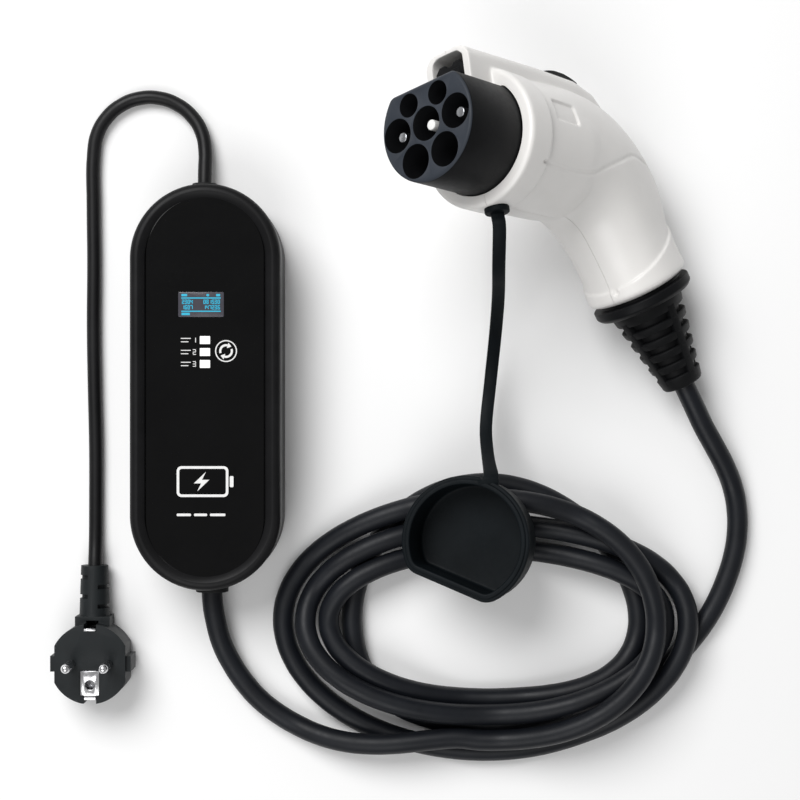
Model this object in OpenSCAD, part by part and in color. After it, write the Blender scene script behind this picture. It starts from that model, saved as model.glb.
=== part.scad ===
// Portable electric-car charger lying flat: box, mains lead with plug, coiled cable, hand gun, dust cap.
// Millimetres, +Z up. The origin is the middle of the control box's back face, which lies on the ground.

/* [Control box] */
// overall length of the box, along Y
box_l = 205; // [180:1:240]
// overall width of the box, along X
box_w = 76; // [66:1:90]
// overall depth of the box, along Z
box_d = 45; // [38:1:56]
// wall thickness of both case halves
case_wall = 2.5; // [2:0.1:3.5]
// radius of the rounded front edge
front_round = 5; // [3:0.5:7]
// half width of the glossy panel
panel_r = 29.8; // [26:0.1:31]

/* [Mains lead and plug] */
// diameter of the mains lead
lead_d = 7.2; // [6:0.1:9]
// radius of the plug's face
plug_r = 20.5; // [18:0.1:22]
// depth of the plug body from its back to its face
plug_depth = 24; // [20:1:30]
// distance between the two plug pins
pin_pitch = 19; // [18:0.1:20]
// diameter of a plug pin
pin_d = 4.8; // [4:0.1:5]
// length of a plug pin
pin_len = 19; // [17:0.5:20]

/* [Charge cable] */
// diameter of the charge cable
cable_d = 10.8; // [9:0.1:13]
// height of the coil lying on the ground
coil_h = 23; // [18:1:32]

/* [Gun] */
// radius of the round nose
nose_r = 27.5; // [26:0.1:28.5]
// height of the flat on the nose above its axis
nose_flat = 19.5; // [19:0.1:20.5]
// length of the nose in front of the collar
nose_len = 36; // [30:1:42]
// spacing of the socket holes
hole_pitch = 18; // [17.6:0.1:18.2]
// diameter of the five large sockets
hole_d = 16.4; // [14:0.1:16.8]
// diameter of the two small sockets
small_d = 11.4; // [9:0.1:12]
// outer radius of the white collar
collar_r = 34; // [33.5:0.1:36]
// thickness of the gun's shell
shell_wall = 2.6; // [2:0.1:3.2]
// radius of the ring at the end of the handle
ring_r = 26; // [24:0.1:28]
// travel of the thumb button
button_travel = 3.5; // [3:0.1:4]

/* [Dust cap] */
// inner radius of the cap, over the nose
cap_r = 28.4; // [28:0.1:30]
// depth of the cap
cap_depth = 26; // [20:1:34]
// wall thickness of the cap
cap_wall = 2.6; // [2:0.1:3.5]

/* [Hidden] */
$fn = 48;
eps = 0.01;
box_r = box_w / 2;
box_c = box_l / 2 - box_r;
split_z = round(box_d * 0.53);
gasket_t = 0.8;
deck_top = box_d - 3.8;
deck_t = 2.4;
panel_t = 2;
panel_c = box_l / 2 - panel_r - 6.5;
board_z = 12;
board_t = 1.6;
in_x = -3.5;
out_x = 0.5;
in_r = 6.5;
out_r = 8.5;
in_z = case_wall + in_r + 1;
out_z = case_wall + out_r;
ui_z = deck_top - deck_t - 2.6;
boss_x = box_r - 6;
boss_y = 52;
dy = box_l / 2 - 102.5;
plug_x = -61;
plug_y = -142;
relief_z = 8;

// placement of the gun: local x = across, y = up over the nose, z = out of the nose
gun_pos = [134.37, 117.61, 98.03];
gun_rot = [-17.03, -40.31, 18.02];
head_len = 82;
bend = 60;
bend_r = 50;
handle_len = 70;
boot_len = 47;
ring_t = 6;
tan_len = bend_r * tan(bend / 2);
arc_z = tan_len - head_len;

function rx(p, a) = [p[0], p[1] * cos(a) - p[2] * sin(a), p[1] * sin(a) + p[2] * cos(a)];
function ry(p, a) = [p[0] * cos(a) + p[2] * sin(a), p[1], p[2] * cos(a) - p[0] * sin(a)];
function rz(p, a) = [p[0] * cos(a) - p[1] * sin(a), p[0] * sin(a) + p[1] * cos(a), p[2]];
function gun(p) = gun_pos + rz(ry(rx(p, gun_rot[0]), gun_rot[1]), gun_rot[2]);
function grip(s, v = 0) = [0, -s * sin(bend) - v * cos(bend), -head_len - s * cos(bend) + v * sin(bend)];

// rings of points for a swept tube or band
function unit(v) = v / norm(v);
function dir_at(r, i) = unit(r[min(i + 1, len(r) - 1)] - r[max(i - 1, 0)]);
function side_at(d) = unit(cross(d, abs(d[2]) > 0.9 ? [1, 0, 0] : [0, 0, 1]));
function tube_pts(r, w, h, n) = [
    for (i = [0 : len(r) - 1])
    for (k = [0 : n - 1])
    let (d = dir_at(r, i), s = side_at(d), u = cross(s, d), t = 360 * (k + 0.5) / n)
    r[i] + s * w * cos(t) + u * h * sin(t)
];
function band_pts(r, w, h, n) = [
    for (i = [0 : len(r) - 1])
    for (k = [0 : n - 1])
    let (d = dir_at(r, i), s = unit([1, 0, 0] - d[0] * d), u = cross(s, d), t = 360 * (k + 0.5) / n)
    r[i] + s * w * cos(t) + u * h * sin(t)
];
function tube_faces(m, n) = concat(
    [for (i = [0 : m - 2]) for (k = [0 : n - 1]) [i * n + k, i * n + (k + 1) % n, (i + 1) * n + k]],
    [for (i = [0 : m - 2]) for (k = [0 : n - 1])
        [i * n + (k + 1) % n, (i + 1) * n + (k + 1) % n, (i + 1) * n + k]],
    [[for (k = [n - 1 : -1 : 0]) k]],
    [[for (k = [0 : n - 1]) (m - 1) * n + k]]
);

// smooth route through hand-chosen points
function spline(p, i, t) =
    let (a = p[max(i - 1, 0)], b = p[i], c = p[i + 1], d = p[min(i + 2, len(p) - 1)])
    0.5 * (2 * b + (c - a) * t + (2 * a - 5 * b + 4 * c - d) * t * t + (3 * b - a - 3 * c + d) * t * t * t);
function route(p, m) = concat([for (i = [0 : len(p) - 2]) for (j = [0 : m - 1]) spline(p, i, j / m)],
    [p[len(p) - 1]]);

lead_route = [
    [in_x, 86 + dy, in_z],
    [in_x, 104 + dy, in_z],
    [in_x, 122 + dy, 7],
    [-12, 144 + dy, 4],
    [-33, 153 + dy, 3.9],
    [-53, 144 + dy, 3.9],
    [-62, 122, 3.9],
    [-62, 60, 3.9],
    [-62, 0, 3.9],
    [-61, -60, 3.9],
    [-61, -84, 5],
    [-61, -100, relief_z],
    [-61, -118, relief_z]
];
in_route = [
    [out_x, -86 - dy, out_z],
    [out_x, -104 - dy, out_z],
    [4, -122 - dy, 8],
    [18, -154 - dy, 6],
    [45, -178 - dy, 6],
    [80, -188 - dy, 6.5],
    [112, -184 - dy, 8]
];
out_route = [
    [236, -128, 12],
    [252, -118, 8],
    [268, -98, 6.5],
    [275, -74, 6.5],
    [271, -50, 8],
    gun(grip(handle_len + ring_t + boot_len + 26)),
    gun(grip(handle_len + ring_t + boot_len)),
    gun(grip(handle_len + ring_t)),
    gun(grip(52))
];

// the gun's outline: sections along the bent axis, as [y, z, turn, half width, outer half, inner half]
function arc_sec(t, a, bu, bd) = [bend_r * (cos(t) - 1), arc_z - bend_r * sin(t), t, a, bu, bd];
function grip_sec(s, a, bu, bd) = [grip(s)[1], grip(s)[2], bend, a, bu, bd];
secs = [
    [0, -6, 0, 32, 32, 32],
    [0, -22, 0, 32, 32.5, 32],
    [0, -38, 0, 31.5, 34, 31],
    arc_sec(0, 31, 35.5, 29.5),
    arc_sec(12, 30.2, 36.5, 28.5),
    arc_sec(24, 29.4, 37.5, 27.5),
    arc_sec(36, 28.4, 38, 26.5),
    arc_sec(48, 27.2, 38.3, 25.6),
    arc_sec(60, 26, 37.7, 24.8),
    grip_sec(38, 24.8, 33.6, 24.2),
    grip_sec(46, 24.2, 28.3, 23.8),
    grip_sec(55, 24.2, 26, 24),
    grip_sec(63, 24.8, 25.4, 24.8),
    grip_sec(handle_len, 25.6, 25.6, 25.6)
];
function sup(c, e) = sign(c) * pow(abs(c), 2 / e);
function sec_pt(q, t, in) =
    let (x = (q[3] - in) * sup(cos(t), 2.15), v = ((sin(t) > 0 ? q[4] : q[5]) - in) * sup(sin(t), 2.15))
    [x, q[0] + v * cos(q[2]), q[1] - v * sin(q[2])];
half_n = 10;
full_n = 20;
half_pts = [for (q = secs) for (k = [0 : half_n]) sec_pt(q, -90 + 180 * k / half_n, 0)];
half_faces = let (m = len(secs), n = half_n + 1) concat(
    [for (i = [0 : m - 2]) for (k = [0 : n - 2]) [i * n + k, i * n + k + 1, (i + 1) * n + k]],
    [for (i = [0 : m - 2]) for (k = [0 : n - 2]) [i * n + k + 1, (i + 1) * n + k + 1, (i + 1) * n + k]],
    [for (i = [0 : m - 2]) [i * n, (i + 1) * n, (i + 1) * n + n - 1, i * n + n - 1]],
    [[for (k = [n - 1 : -1 : 0]) k]],
    [[for (k = [0 : n - 1]) (m - 1) * n + k]]
);
in_secs = concat([[0, -16, 0, 32, 32, 32]], [for (i = [1 : len(secs) - 2]) secs[i]],
    [grip_sec(handle_len + 2, 25.6, 25.6, 25.6)]);
in_pts = [for (q = in_secs) for (k = [0 : full_n - 1]) sec_pt(q, 360 * k / full_n, shell_wall)];

screw_spots = [[-18, -45, 23.2], [4, -86, 26.6], [grip(38, 13)[1], grip(38, 13)[2], 18.6],
    [grip(50, -14)[1], grip(50, -14)[2], 18.6]];

cap_pos = [137, -78, 31.4];
cap_rot = [3, -16, -22];
function cap(p) = cap_pos + rz(ry(rx(p, cap_rot[0]), cap_rot[1]), cap_rot[2]);
strap_route = [
    gun([0, -34.2, -8]),
    gun([0, -44, -8]),
    [147, 58, 90],
    [148, 44, 62],
    [147, 26, 36],
    [145, 2, 20],
    [142, -20, 25],
    [142, -33, 38],
    cap([0, cap_r + cap_wall + 1, cap_depth - 5])
];

function coil_swell(t) = 1 + 0.95 * exp(-pow((t - 68) / 17, 2));
coil_n = 12;
coil_m = 36;
coil_pts = [
    for (i = [0 : coil_m - 1])
    for (k = [0 : coil_n - 1])
    let (t = 360 * i / coil_m, p = 360 * (k + 0.5) / coil_n, w = 20)
    let (q = sup(cos(p), 2.6), h = coil_h * coil_swell(t))
    [143 + (90 + w * q) * sup(cos(t), 2.2), -121 + (54 + w * q) * sup(sin(t), 2.2),
        h / 2 + 0.2 + h / 2 * sup(sin(p), 2.6)]
];
coil_faces = concat(
    [for (i = [0 : coil_m - 1]) for (k = [0 : coil_n - 1])
        [i * coil_n + k, ((i + 1) % coil_m) * coil_n + k, i * coil_n + (k + 1) % coil_n]],
    [for (i = [0 : coil_m - 1]) for (k = [0 : coil_n - 1])
        [i * coil_n + (k + 1) % coil_n, ((i + 1) % coil_m) * coil_n + k,
            ((i + 1) % coil_m) * coil_n + (k + 1) % coil_n]]
);

module gun_place() {
    translate(gun_pos)
        rotate(gun_rot)
            children();
}

module grip_place() {
    gun_place()
        translate([0, 0, -head_len])
            rotate([180 - bend, 0, 0])
                children();
}

// solid with a race-track outline from a half profile of radius and height
module track(c) {
    rotate([90, 0, 0])
        linear_extrude(2 * c, center = true) {
            children();
            mirror([1, 0])
                children();
        }
    translate([0, c, 0])
        rotate_extrude(angle = 180, $fn = 96)
            children();
    translate([0, -c, 0])
        rotate([0, 0, 180])
            rotate_extrude(angle = 180, $fn = 96)
                children();
}

module case_bosses(z0, z1, r) {
    for (x = [-boss_x, boss_x])
        for (y = [-boss_y, boss_y])
            translate([x, y, z0])
                cylinder(r = r, h = z1 - z0);
}

module rear_case() {
    color("#1d1d1f")
        difference() {
            union() {
                difference() {
                    track(box_c) {
                        translate([0, 6])
                            square([box_r, split_z - gasket_t / 2 - 6]);
                        square([box_r - 6, 6 + eps]);
                        translate([box_r - 6, 6])
                            circle(r = 6);
                    }
                    track(box_c)
                        translate([0, case_wall])
                            square([box_r - case_wall, split_z]);
                }
                intersection() {
                    case_bosses(case_wall - 0.5, split_z - gasket_t / 2, 4.4);
                    translate([-box_r + 1, -100, 0])
                        cube([box_w - 2, 200, split_z]);
                }
                for (x = [-20, 20])
                    for (y = [-64, 64])
                        translate([x, y, case_wall - 0.5])
                            cylinder(r = 3.4, h = board_z - case_wall + 0.5);
                for (s = [-1, 1])
                    translate([-13, s > 0 ? box_l / 2 - 10 : 4.5 - box_l / 2, case_wall - 0.5])
                        cube([26, 5.5, 19]);
            }
            case_bosses(-1, 8, 3.3);
            case_bosses(6, split_z + 1, 1.8);
            translate([in_x, box_l / 2 - 12, in_z])
                rotate([-90, 0, 0])
                    cylinder(r = in_r, h = 20);
            translate([out_x, 12 - box_l / 2, out_z])
                rotate([90, 0, 0])
                    cylinder(r = out_r, h = 20);
        }
}

module panel_hole(r, h) {
    for (y = [-panel_c, panel_c])
        translate([0, y, 0])
            cylinder(r = r, h = h, $fn = 96);
    translate([-r, -panel_c, 0])
        cube([2 * r, 2 * panel_c, h]);
}

module panel_slope(r0, r1, h) {
    for (y = [-panel_c, panel_c])
        translate([0, y, 0])
            cylinder(r1 = r0, r2 = r1, h = h, $fn = 96);
    rotate([90, 0, 0])
        linear_extrude(2 * panel_c, center = true)
            polygon([[-r0, 0], [r0, 0], [r1, h], [-r1, h]]);
}

module window_cuts(z0, h, g) {
    translate([-2 - 11.5 - g, 41.5 - 6.3 - g, z0])
        cube([23 + 2 * g, 12.6 + 2 * g, h]);
    for (y = [11.6, 17.6, 23.6])
        translate([-2.6 - g, y - 2 - g, z0])
            cube([5.2 + 2 * g, 4 + 2 * g, h]);
}

module front_case() {
    color("#1d1d1f")
        difference() {
            union() {
                difference() {
                    track(box_c) {
                        translate([0, split_z + gasket_t / 2])
                            square([box_r, box_d - split_z - gasket_t / 2 - front_round]);
                        translate([0, box_d - front_round - eps])
                            square([box_r - front_round, front_round + eps]);
                        translate([box_r - front_round, box_d - front_round])
                            circle(r = front_round);
                    }
                    track(box_c)
                        translate([0, split_z - 1])
                            square([box_r - case_wall - 2.5, deck_top - deck_t - split_z + 1]);
                }
                intersection() {
                    case_bosses(split_z + gasket_t / 2, deck_top - deck_t + 0.5, 4.4);
                    translate([-box_r + 2, -100, 0])
                        cube([box_w - 4, 200, box_d]);
                }
                for (x = [-19, 19])
                    for (y = [4, 54])
                        translate([x, y, ui_z])
                            cylinder(r = 3, h = deck_top - deck_t - ui_z + 0.5);
            }
            translate([0, 0, deck_top])
                panel_hole(panel_r + 0.15, 10);
            translate([0, 0, box_d - 2.2])
                panel_slope(panel_r + 0.4, panel_r + 4.4, 2.4);
            window_cuts(deck_top - 6, 7, 0.4);
            case_bosses(split_z - 1, deck_top - deck_t - 1, 1.4);
        }
}

module case_gasket() {
    color("#3a3d40")
        track(box_c)
            translate([box_r - 2, split_z - gasket_t / 2])
                square([1.7, gasket_t]);
}

module front_panel() {
    color("#0e0e0f")
        difference() {
            translate([0, 0, deck_top])
                panel_hole(panel_r, panel_t);
            window_cuts(deck_top - 1, 5, 0.1);
        }
}

module display_module() {
    color("#45454d")
        translate([-2, 41.5, 0]) {
            translate([-11.4, -6.2, ui_z + 1])
                cube([22.8, 12.4, deck_top + panel_t - ui_z - 1.2]);
            translate([-11.8, -6.6, ui_z])
                cube([23.6, 13.2, 1.4]);
        }
}

module indicator_windows() {
    color("#f2f2f0")
        for (y = [11.6, 17.6, 23.6])
            translate([-2.6, y - 2, ui_z])
                cube([5.2, 4, deck_top + panel_t - ui_z]);
}

module control_board() {
    color("#1f5a3a")
        translate([-24, -2, ui_z - 1.6])
            cube([48, 62, 1.6]);
}

module main_board() {
    color("#1f5a3a")
        difference() {
            translate([-25, -72, board_z])
                cube([50, 144, board_t]);
            translate([0, 0, board_z - 1])
                cylinder(r = 2, h = 4);
        }
}

module power_module() {
    color("#232323")
        translate([-21, -48, board_z + board_t])
            cube([24, 40, 16]);
}

module relays() {
    color("#26405e") {
        translate([-20, 6, board_z + board_t])
            cube([16, 22, 15]);
        translate([3, 6, board_z + board_t])
            cube([16, 22, 15]);
    }
}

module leakage_sensor() {
    color("#3b3b3d")
        translate([14, -28, board_z + board_t])
            difference() {
                cylinder(r = 9.5, h = 9);
                translate([0, 0, -1])
                    cylinder(r = 4.5, h = 12);
            }
}

module terminal_block() {
    color("#2f7d46")
        for (y = [44, -68])
            translate([-14, y, board_z + board_t])
                cube([28, 14, 10]);
}

module grommet(r, flange, bore) {
    difference() {
        union() {
            cylinder(r = r - 0.05, h = 13.5);
            translate([0, 0, -2.5])
                cylinder(r = flange, h = 2.5);
        }
        translate([0, 0, -4])
            cylinder(r = bore, h = 20);
    }
}

module input_grommet() {
    color("#141516")
        translate([in_x, box_l / 2 - 10, in_z])
            rotate([-90, 0, 0])
                grommet(in_r, in_r + 1, lead_d / 2 + 0.1);
}

module output_grommet() {
    color("#141516")
        translate([out_x, 10 - box_l / 2, out_z])
            rotate([90, 0, 0])
                grommet(out_r, out_r - 0.05, cable_d / 2 + 0.1);
}

module case_screws() {
    color("#8a8f94")
        for (x = [-boss_x, boss_x])
            for (y = [-boss_y, boss_y])
                translate([x, y, 5]) {
                    cylinder(r = 3, h = 3);
                    cylinder(r = 1.45, h = split_z + 6);
                }
}

module plug_outline(r) {
    intersection() {
        circle(r = r, $fn = 96);
        square([2 * r - 4.6, 2 * r + 2], center = true);
    }
}

module plug_body() {
    color("#1c2226")
        difference() {
            union() {
                translate([plug_x, plug_y, 0]) {
                    translate([0, 0, 3])
                        linear_extrude(plug_depth - 3)
                            plug_outline(plug_r);
                    linear_extrude(3 + eps)
                        plug_outline(plug_r - 2);
                    for (s = [-1, 1])
                        translate([s * (plug_r - 1.6) - 1.8, -4, 4])
                            cube([3.6, 8, plug_depth - 6]);
                    translate([-9, plug_r - 6, 1])
                        cube([18, 9, 15]);
                }
                translate([plug_x, plug_y + plug_r + 2, relief_z])
                    rotate([-90, 0, 0])
                        cylinder(r1 = 7.9, r2 = 7, h = 27);
            }
            translate([plug_x, plug_y, 0]) {
                for (s = [-1, 1])
                    translate([-3.2, s > 0 ? plug_r - 3.4 : -plug_r - 1, 8])
                        cube([6.4, 4.4, plug_depth]);
                translate([-5, -16.2, plug_depth - 1])
                    cube([10, 13, 3]);
                translate([0, -10.6, 4])
                    cylinder(r = 3.5, h = 30);
                for (s = [-1, 1])
                    translate([s * pin_pitch / 2, 0, plug_depth - 14])
                        cylinder(r = 2, h = 30);
                for (k = [0 : 3])
                    translate([k % 2 == 0 ? 2.5 : -12.5, plug_r + 7 + k * 5, -1])
                        cube([10, 2.2, 22]);
            }
            translate([plug_x, plug_y + plug_r - 2, relief_z])
                rotate([-90, 0, 0])
                    cylinder(r = lead_d / 2 + 0.05, h = 40);
        }
}

module plug_pins() {
    color("#c9ccd0")
        translate([plug_x, plug_y, 0])
            for (s = [-1, 1])
                translate([s * pin_pitch / 2, 0, plug_depth]) {
                    translate([0, 0, -14])
                        cylinder(r = 2, h = 14 + eps);
                    cylinder(r = pin_d / 2, h = pin_len - pin_d / 2);
                    translate([0, 0, pin_len - pin_d / 2])
                        sphere(r = pin_d / 2);
                }
}

module earth_clip() {
    color("#c9ccd0")
        translate([plug_x, plug_y, 0]) {
            translate([-3, plug_r - 3.4, 8])
                cube([6, 1.2, plug_depth - 7.2]);
            translate([-3, 2.2 - plug_r, 8])
                cube([6, 1.2, plug_depth - 8]);
            difference() {
                union() {
                    translate([-4.8, -16, plug_depth - 1])
                        cube([9.6, 12.6, 1]);
                    translate([0, -10.6, 6])
                        cylinder(r = 3.4, h = plug_depth - 6);
                    translate([-3, -18.2, plug_depth - 1])
                        cube([6, 3, 1]);
                }
                translate([0, -10.6, 8])
                    cylinder(r = 2.5, h = 30);
            }
        }
}

module tube(r, d) {
    polyhedron(tube_pts(r, d / 2, d / 2, 10), tube_faces(len(r), 10), convexity = 4);
}

module mains_lead() {
    color("#161718")
        tube(route(lead_route, 3), lead_d);
}

module charge_cable_in() {
    color("#1c2028")
        tube(route(in_route, 3), cable_d);
}

module charge_cable_coil() {
    color("#1c2028")
        polyhedron(coil_pts, coil_faces, convexity = 6);
}

module charge_cable_out() {
    color("#1c2028")
        tube(route(out_route, 3), cable_d);
}

module nose_outline(g) {
    intersection() {
        circle(r = nose_r + g, $fn = 96);
        translate([-40, -40])
            square([80, 40 + nose_flat + g]);
    }
}

module rod_x(y, z, x0, x1, r) {
    translate([x0, y, z])
        rotate([0, 90, 0])
            cylinder(r = r, h = x1 - x0);
}

module ridge_side(f) {
    rotate([0, -90, 0])
        linear_extrude(60, center = true)
            polygon(f);
}

module ridge(w, top, r) {
    translate([0, 0, -100])
        linear_extrude(130) {
            translate([-w, 0])
                square([2 * w, top - r]);
            translate([r - w, 0])
                square([2 * (w - r), top]);
            for (s = [-1, 1])
                translate([s * (w - r), top - r])
                    circle(r = r);
        }
}

module gun_solid() {
    polyhedron(half_pts, half_faces, convexity = 6);
    difference() {
        union() {
            translate([0, 0, -16])
                cylinder(r = collar_r, h = 14, $fn = 96);
            translate([0, 0, -2])
                cylinder(r1 = collar_r, r2 = collar_r - 2, h = 2, $fn = 96);
            intersection() {
                ridge(13.5, 43, 8);
                ridge_side([[15, 20], [15, 40.8], [12.8, 42.4], [-40, 42.4], [-70, 42], [-84, 38], [-96, 27],
                    [-96, 5], [-2, 5], [-2, 20]]);
            }
        }
        translate([-60, -60, -110])
            cube([60, 120, 140]);
    }
}

module gun_cuts() {
    polyhedron(in_pts, tube_faces(len(in_secs), full_n), convexity = 6);
    translate([0, 0, -20])
        linear_extrude(30)
            nose_outline(0.2);
    translate([0, 0, -14])
        cylinder(r = 30.2, h = 6, $fn = 96);
    translate([-9.5, 24, -84])
        cube([19, 15, 100]);
    translate([-9.5, 14, 0.5])
        cube([19, 15, 30]);
    translate([-7.3, 30, -78.3])
        cube([14.6, 20, 28.6]);
    translate([0, -33, -8])
        rotate([90, 0, 0])
            cylinder(r = 5.2, h = 10);
    rod_x(31, -20, -12.5, 12.5, 2);
}

module gun_half() {
    difference() {
        gun_solid();
        gun_cuts();
    }
}

module gun_left_shell() {
    color("#e6e4e1")
        gun_place()
            difference() {
                union() {
                    mirror([1, 0, 0])
                        gun_half();
                    for (p = screw_spots)
                        rod_x(p[0], p[1], -p[2], 0, 4.2);
                    translate([0, 0, -head_len])
                        rotate([180 - bend, 0, 0])
                            translate([-22.6, -5, 56])
                                cube([8.6, 10, 8]);
                }
                for (p = screw_spots) {
                    rod_x(p[0], p[1], -50, -12, 3.3);
                    rod_x(p[0], p[1], -20, 1, 1.8);
                }
            }
}

module gun_right_shell() {
    color("#e6e4e1")
        gun_place()
            difference() {
                union() {
                    gun_half();
                    for (p = screw_spots)
                        rod_x(p[0], p[1], 0, p[2], 4.2);
                    translate([0, 0, -head_len])
                        rotate([180 - bend, 0, 0])
                            translate([14, -5, 56])
                                cube([8.6, 10, 8]);
                    translate([3, 14, -60])
                        cube([22.5, 6, 8]);
                }
                for (p = screw_spots)
                    rod_x(p[0], p[1], -1, 12, 1.4);
            }
}

module sockets(z0, h, grow) {
    for (x = [-hole_pitch, 0, hole_pitch])
        translate([x, 0, z0])
            cylinder(r = hole_d / 2 + grow, h = h);
    for (s = [-1, 1]) {
        translate([s * hole_pitch / 2, -0.866 * hole_pitch, z0])
            cylinder(r = hole_d / 2 + grow, h = h);
        translate([s * hole_pitch / 2, 0.666 * hole_pitch, z0])
            cylinder(r = small_d / 2 + grow, h = h);
    }
}

module contact_holes(z0, h) {
    for (x = [-hole_pitch, 0, hole_pitch])
        translate([x, 0, z0])
            cylinder(r = 3.05, h = h);
    for (s = [-1, 1])
        translate([s * hole_pitch / 2, 0.666 * hole_pitch, z0])
            cylinder(r = 1.85, h = h);
}

module nose() {
    color("#3a404b")
        gun_place()
            difference() {
                union() {
                    translate([0, 0, -14])
                        linear_extrude(nose_len + 12.8)
                            nose_outline(0);
                    translate([0, 0, nose_len - 1.2 - eps])
                        linear_extrude(1.2 + eps)
                            nose_outline(-1);
                    intersection() {
                        translate([0, 0, -14])
                            cylinder(r = 30, h = 6, $fn = 96);
                        translate([-40, -40, -20])
                            cube([80, 40 + nose_flat + 0.1, 30]);
                    }
                }
                sockets(6, 60, 0);
                contact_holes(-20, 40);
            }
}

module contact_carrier() {
    color("#2a2c30")
        gun_place()
            difference() {
                intersection() {
                    translate([0, 0, -24])
                        cylinder(r = 26, h = 10, $fn = 96);
                    translate([-40, -40, -30])
                        cube([80, 40 + 19, 30]);
                }
                contact_holes(-30, 20);
            }
}

module contact(r, tip, flange) {
    translate([0, 0, -36])
        cylinder(r = r, h = tip + 36 - r);
    translate([0, 0, tip - r])
        sphere(r = r);
    translate([0, 0, -27])
        cylinder(r = flange, h = 3);
}

module power_contacts() {
    color("#c6b27a")
        gun_place()
            for (x = [-hole_pitch, 0, hole_pitch])
                translate([x, 0, 0])
                    contact(3, x == 0 ? nose_len - 7 : nose_len - 8, 5);
}

module signal_contacts() {
    color("#c6b27a")
        gun_place()
            for (s = [-1, 1])
                translate([s * hole_pitch / 2, 0.666 * hole_pitch, 0])
                    contact(1.8, 14, 3);
}

module latch_lever() {
    color("#17181a")
        gun_place()
            difference() {
                union() {
                    rotate([0, -90, 0])
                        linear_extrude(12, center = true)
                            polygon([[-66, 27.5], [-66, 32.5], [-50, 32.5], [-26, 33.2], [-14, 34.5], [2, 33.8],
                                [11, 33.5], [14, 31], [14, 22.5], [10, 21.5], [8, 26.5], [-14, 27.5]]);
                    rotate([0, -90, 0])
                        linear_extrude(17, center = true)
                            polygon([[4, 27.5], [4, 33.5], [10.5, 33.5], [13.5, 31], [13.5, 27.5]]);
                }
                rod_x(31, -20, -20, 20, 2.06);
            }
}

module latch_pin() {
    color("#b9bcc0")
        gun_place()
            rod_x(31, -20, -12.5, 12.5, 2);
}

module latch_spring() {
    color("#b9bcc0")
        gun_place()
            for (x = [7, 8.05, 9.1])
                translate([x, 31, -20])
                    rotate([0, 90, 0])
                        rotate_extrude()
                            translate([2.7, 0])
                                circle(r = 0.55, $fn = 16);
}

module release_button() {
    color("#17181a")
        gun_place() {
            intersection() {
                translate([-7, 33, -78])
                    cube([14, 9 + button_travel, 28]);
                rod_x(8, -64, -7, 7, 34.1 + button_travel);
            }
            translate([-8.6, 35, -80.5])
                cube([17.2, 3.6, 33]);
            translate([-3, 32.9, -63])
                cube([6, 3, 6]);
        }
}

module latch_switch() {
    color("#24262a")
        gun_place() {
            translate([-3, 14, -62])
                cube([6, 7, 12]);
            translate([-1.5, 20.9, -58])
                cube([3, 1.2, 3]);
        }
}

module handle_end_ring() {
    color("#17181a")
        grip_place()
            difference() {
                union() {
                    translate([0, 0, handle_len])
                        cylinder(r = ring_r, h = ring_t - 2, $fn = 64);
                    translate([0, 0, handle_len + ring_t - 2])
                        cylinder(r1 = ring_r, r2 = ring_r - 2, h = 2, $fn = 64);
                    translate([0, 0, handle_len - 5])
                        cylinder(r = 21.5, h = 6, $fn = 64);
                }
                translate([0, 0, handle_len - 10])
                    cylinder(r = 14.1, h = 40);
            }
}

module gun_strain_relief() {
    color("#17181a")
        grip_place()
            translate([0, 0, handle_len + ring_t])
                difference() {
                    union() {
                        cylinder(r1 = 19.5, r2 = 10.5, h = boot_len, $fn = 64);
                        translate([0, 0, -8])
                            cylinder(r = 14, h = 9);
                    }
                    translate([0, 0, -12])
                        cylinder(r = cable_d / 2 + 0.1, h = boot_len + 20);
                    for (k = [0 : 4])
                        for (s = [-1, 1])
                            rotate([0, 0, k % 2 == 0 ? 0 : 90])
                                translate([s > 0 ? 9 - 0.4 * k : k * 0.4 - 29, -9, 7 + 7.4 * k])
                                    cube([20, 18, 3.4]);
                }
}

module gun_cable_clamp() {
    color("#2a2c30")
        grip_place()
            difference() {
                translate([-14, -8, 56])
                    cube([28, 16, 8]);
                translate([0, 0, 50])
                    cylinder(r = cable_d / 2 + 0.05, h = 20);
            }
}

module shell_screws() {
    color("#8a8f94")
        gun_place()
            for (p = screw_spots) {
                rod_x(p[0], p[1], -15, -12, 3);
                rod_x(p[0], p[1], -13, 10, 1.45);
            }
}

module tether_strap() {
    color("#1a1e22")
        union() {
            polyhedron(band_pts(route(strap_route, 3), 3.7, 1.4, 8), tube_faces(3 * len(strap_route) - 2, 8),
                convexity = 4);
            gun_place()
                translate([0, -33, -8])
                    rotate([90, 0, 0])
                        cylinder(r = 5, h = 4);
        }
}

module cap_outline(r, f) {
    intersection() {
        circle(r = r, $fn = 96);
        translate([-50, -f])
            square([100, 100]);
    }
}

module dust_cap() {
    color("#22282e")
        translate(cap_pos)
            rotate(cap_rot)
                difference() {
                    union() {
                        linear_extrude(cap_depth)
                            cap_outline(cap_r + cap_wall, 20.4 + cap_wall);
                        translate([0, 0, cap_depth - 5])
                            linear_extrude(4)
                                cap_outline(cap_r + cap_wall + 1.6, 20.4 + cap_wall + 1.6);
                        translate([-5, cap_r, cap_depth - 8])
                            cube([10, 6, 6]);
                    }
                    translate([0, 0, 3])
                        linear_extrude(cap_depth)
                            cap_outline(cap_r, 20.4);
                }
}

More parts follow.
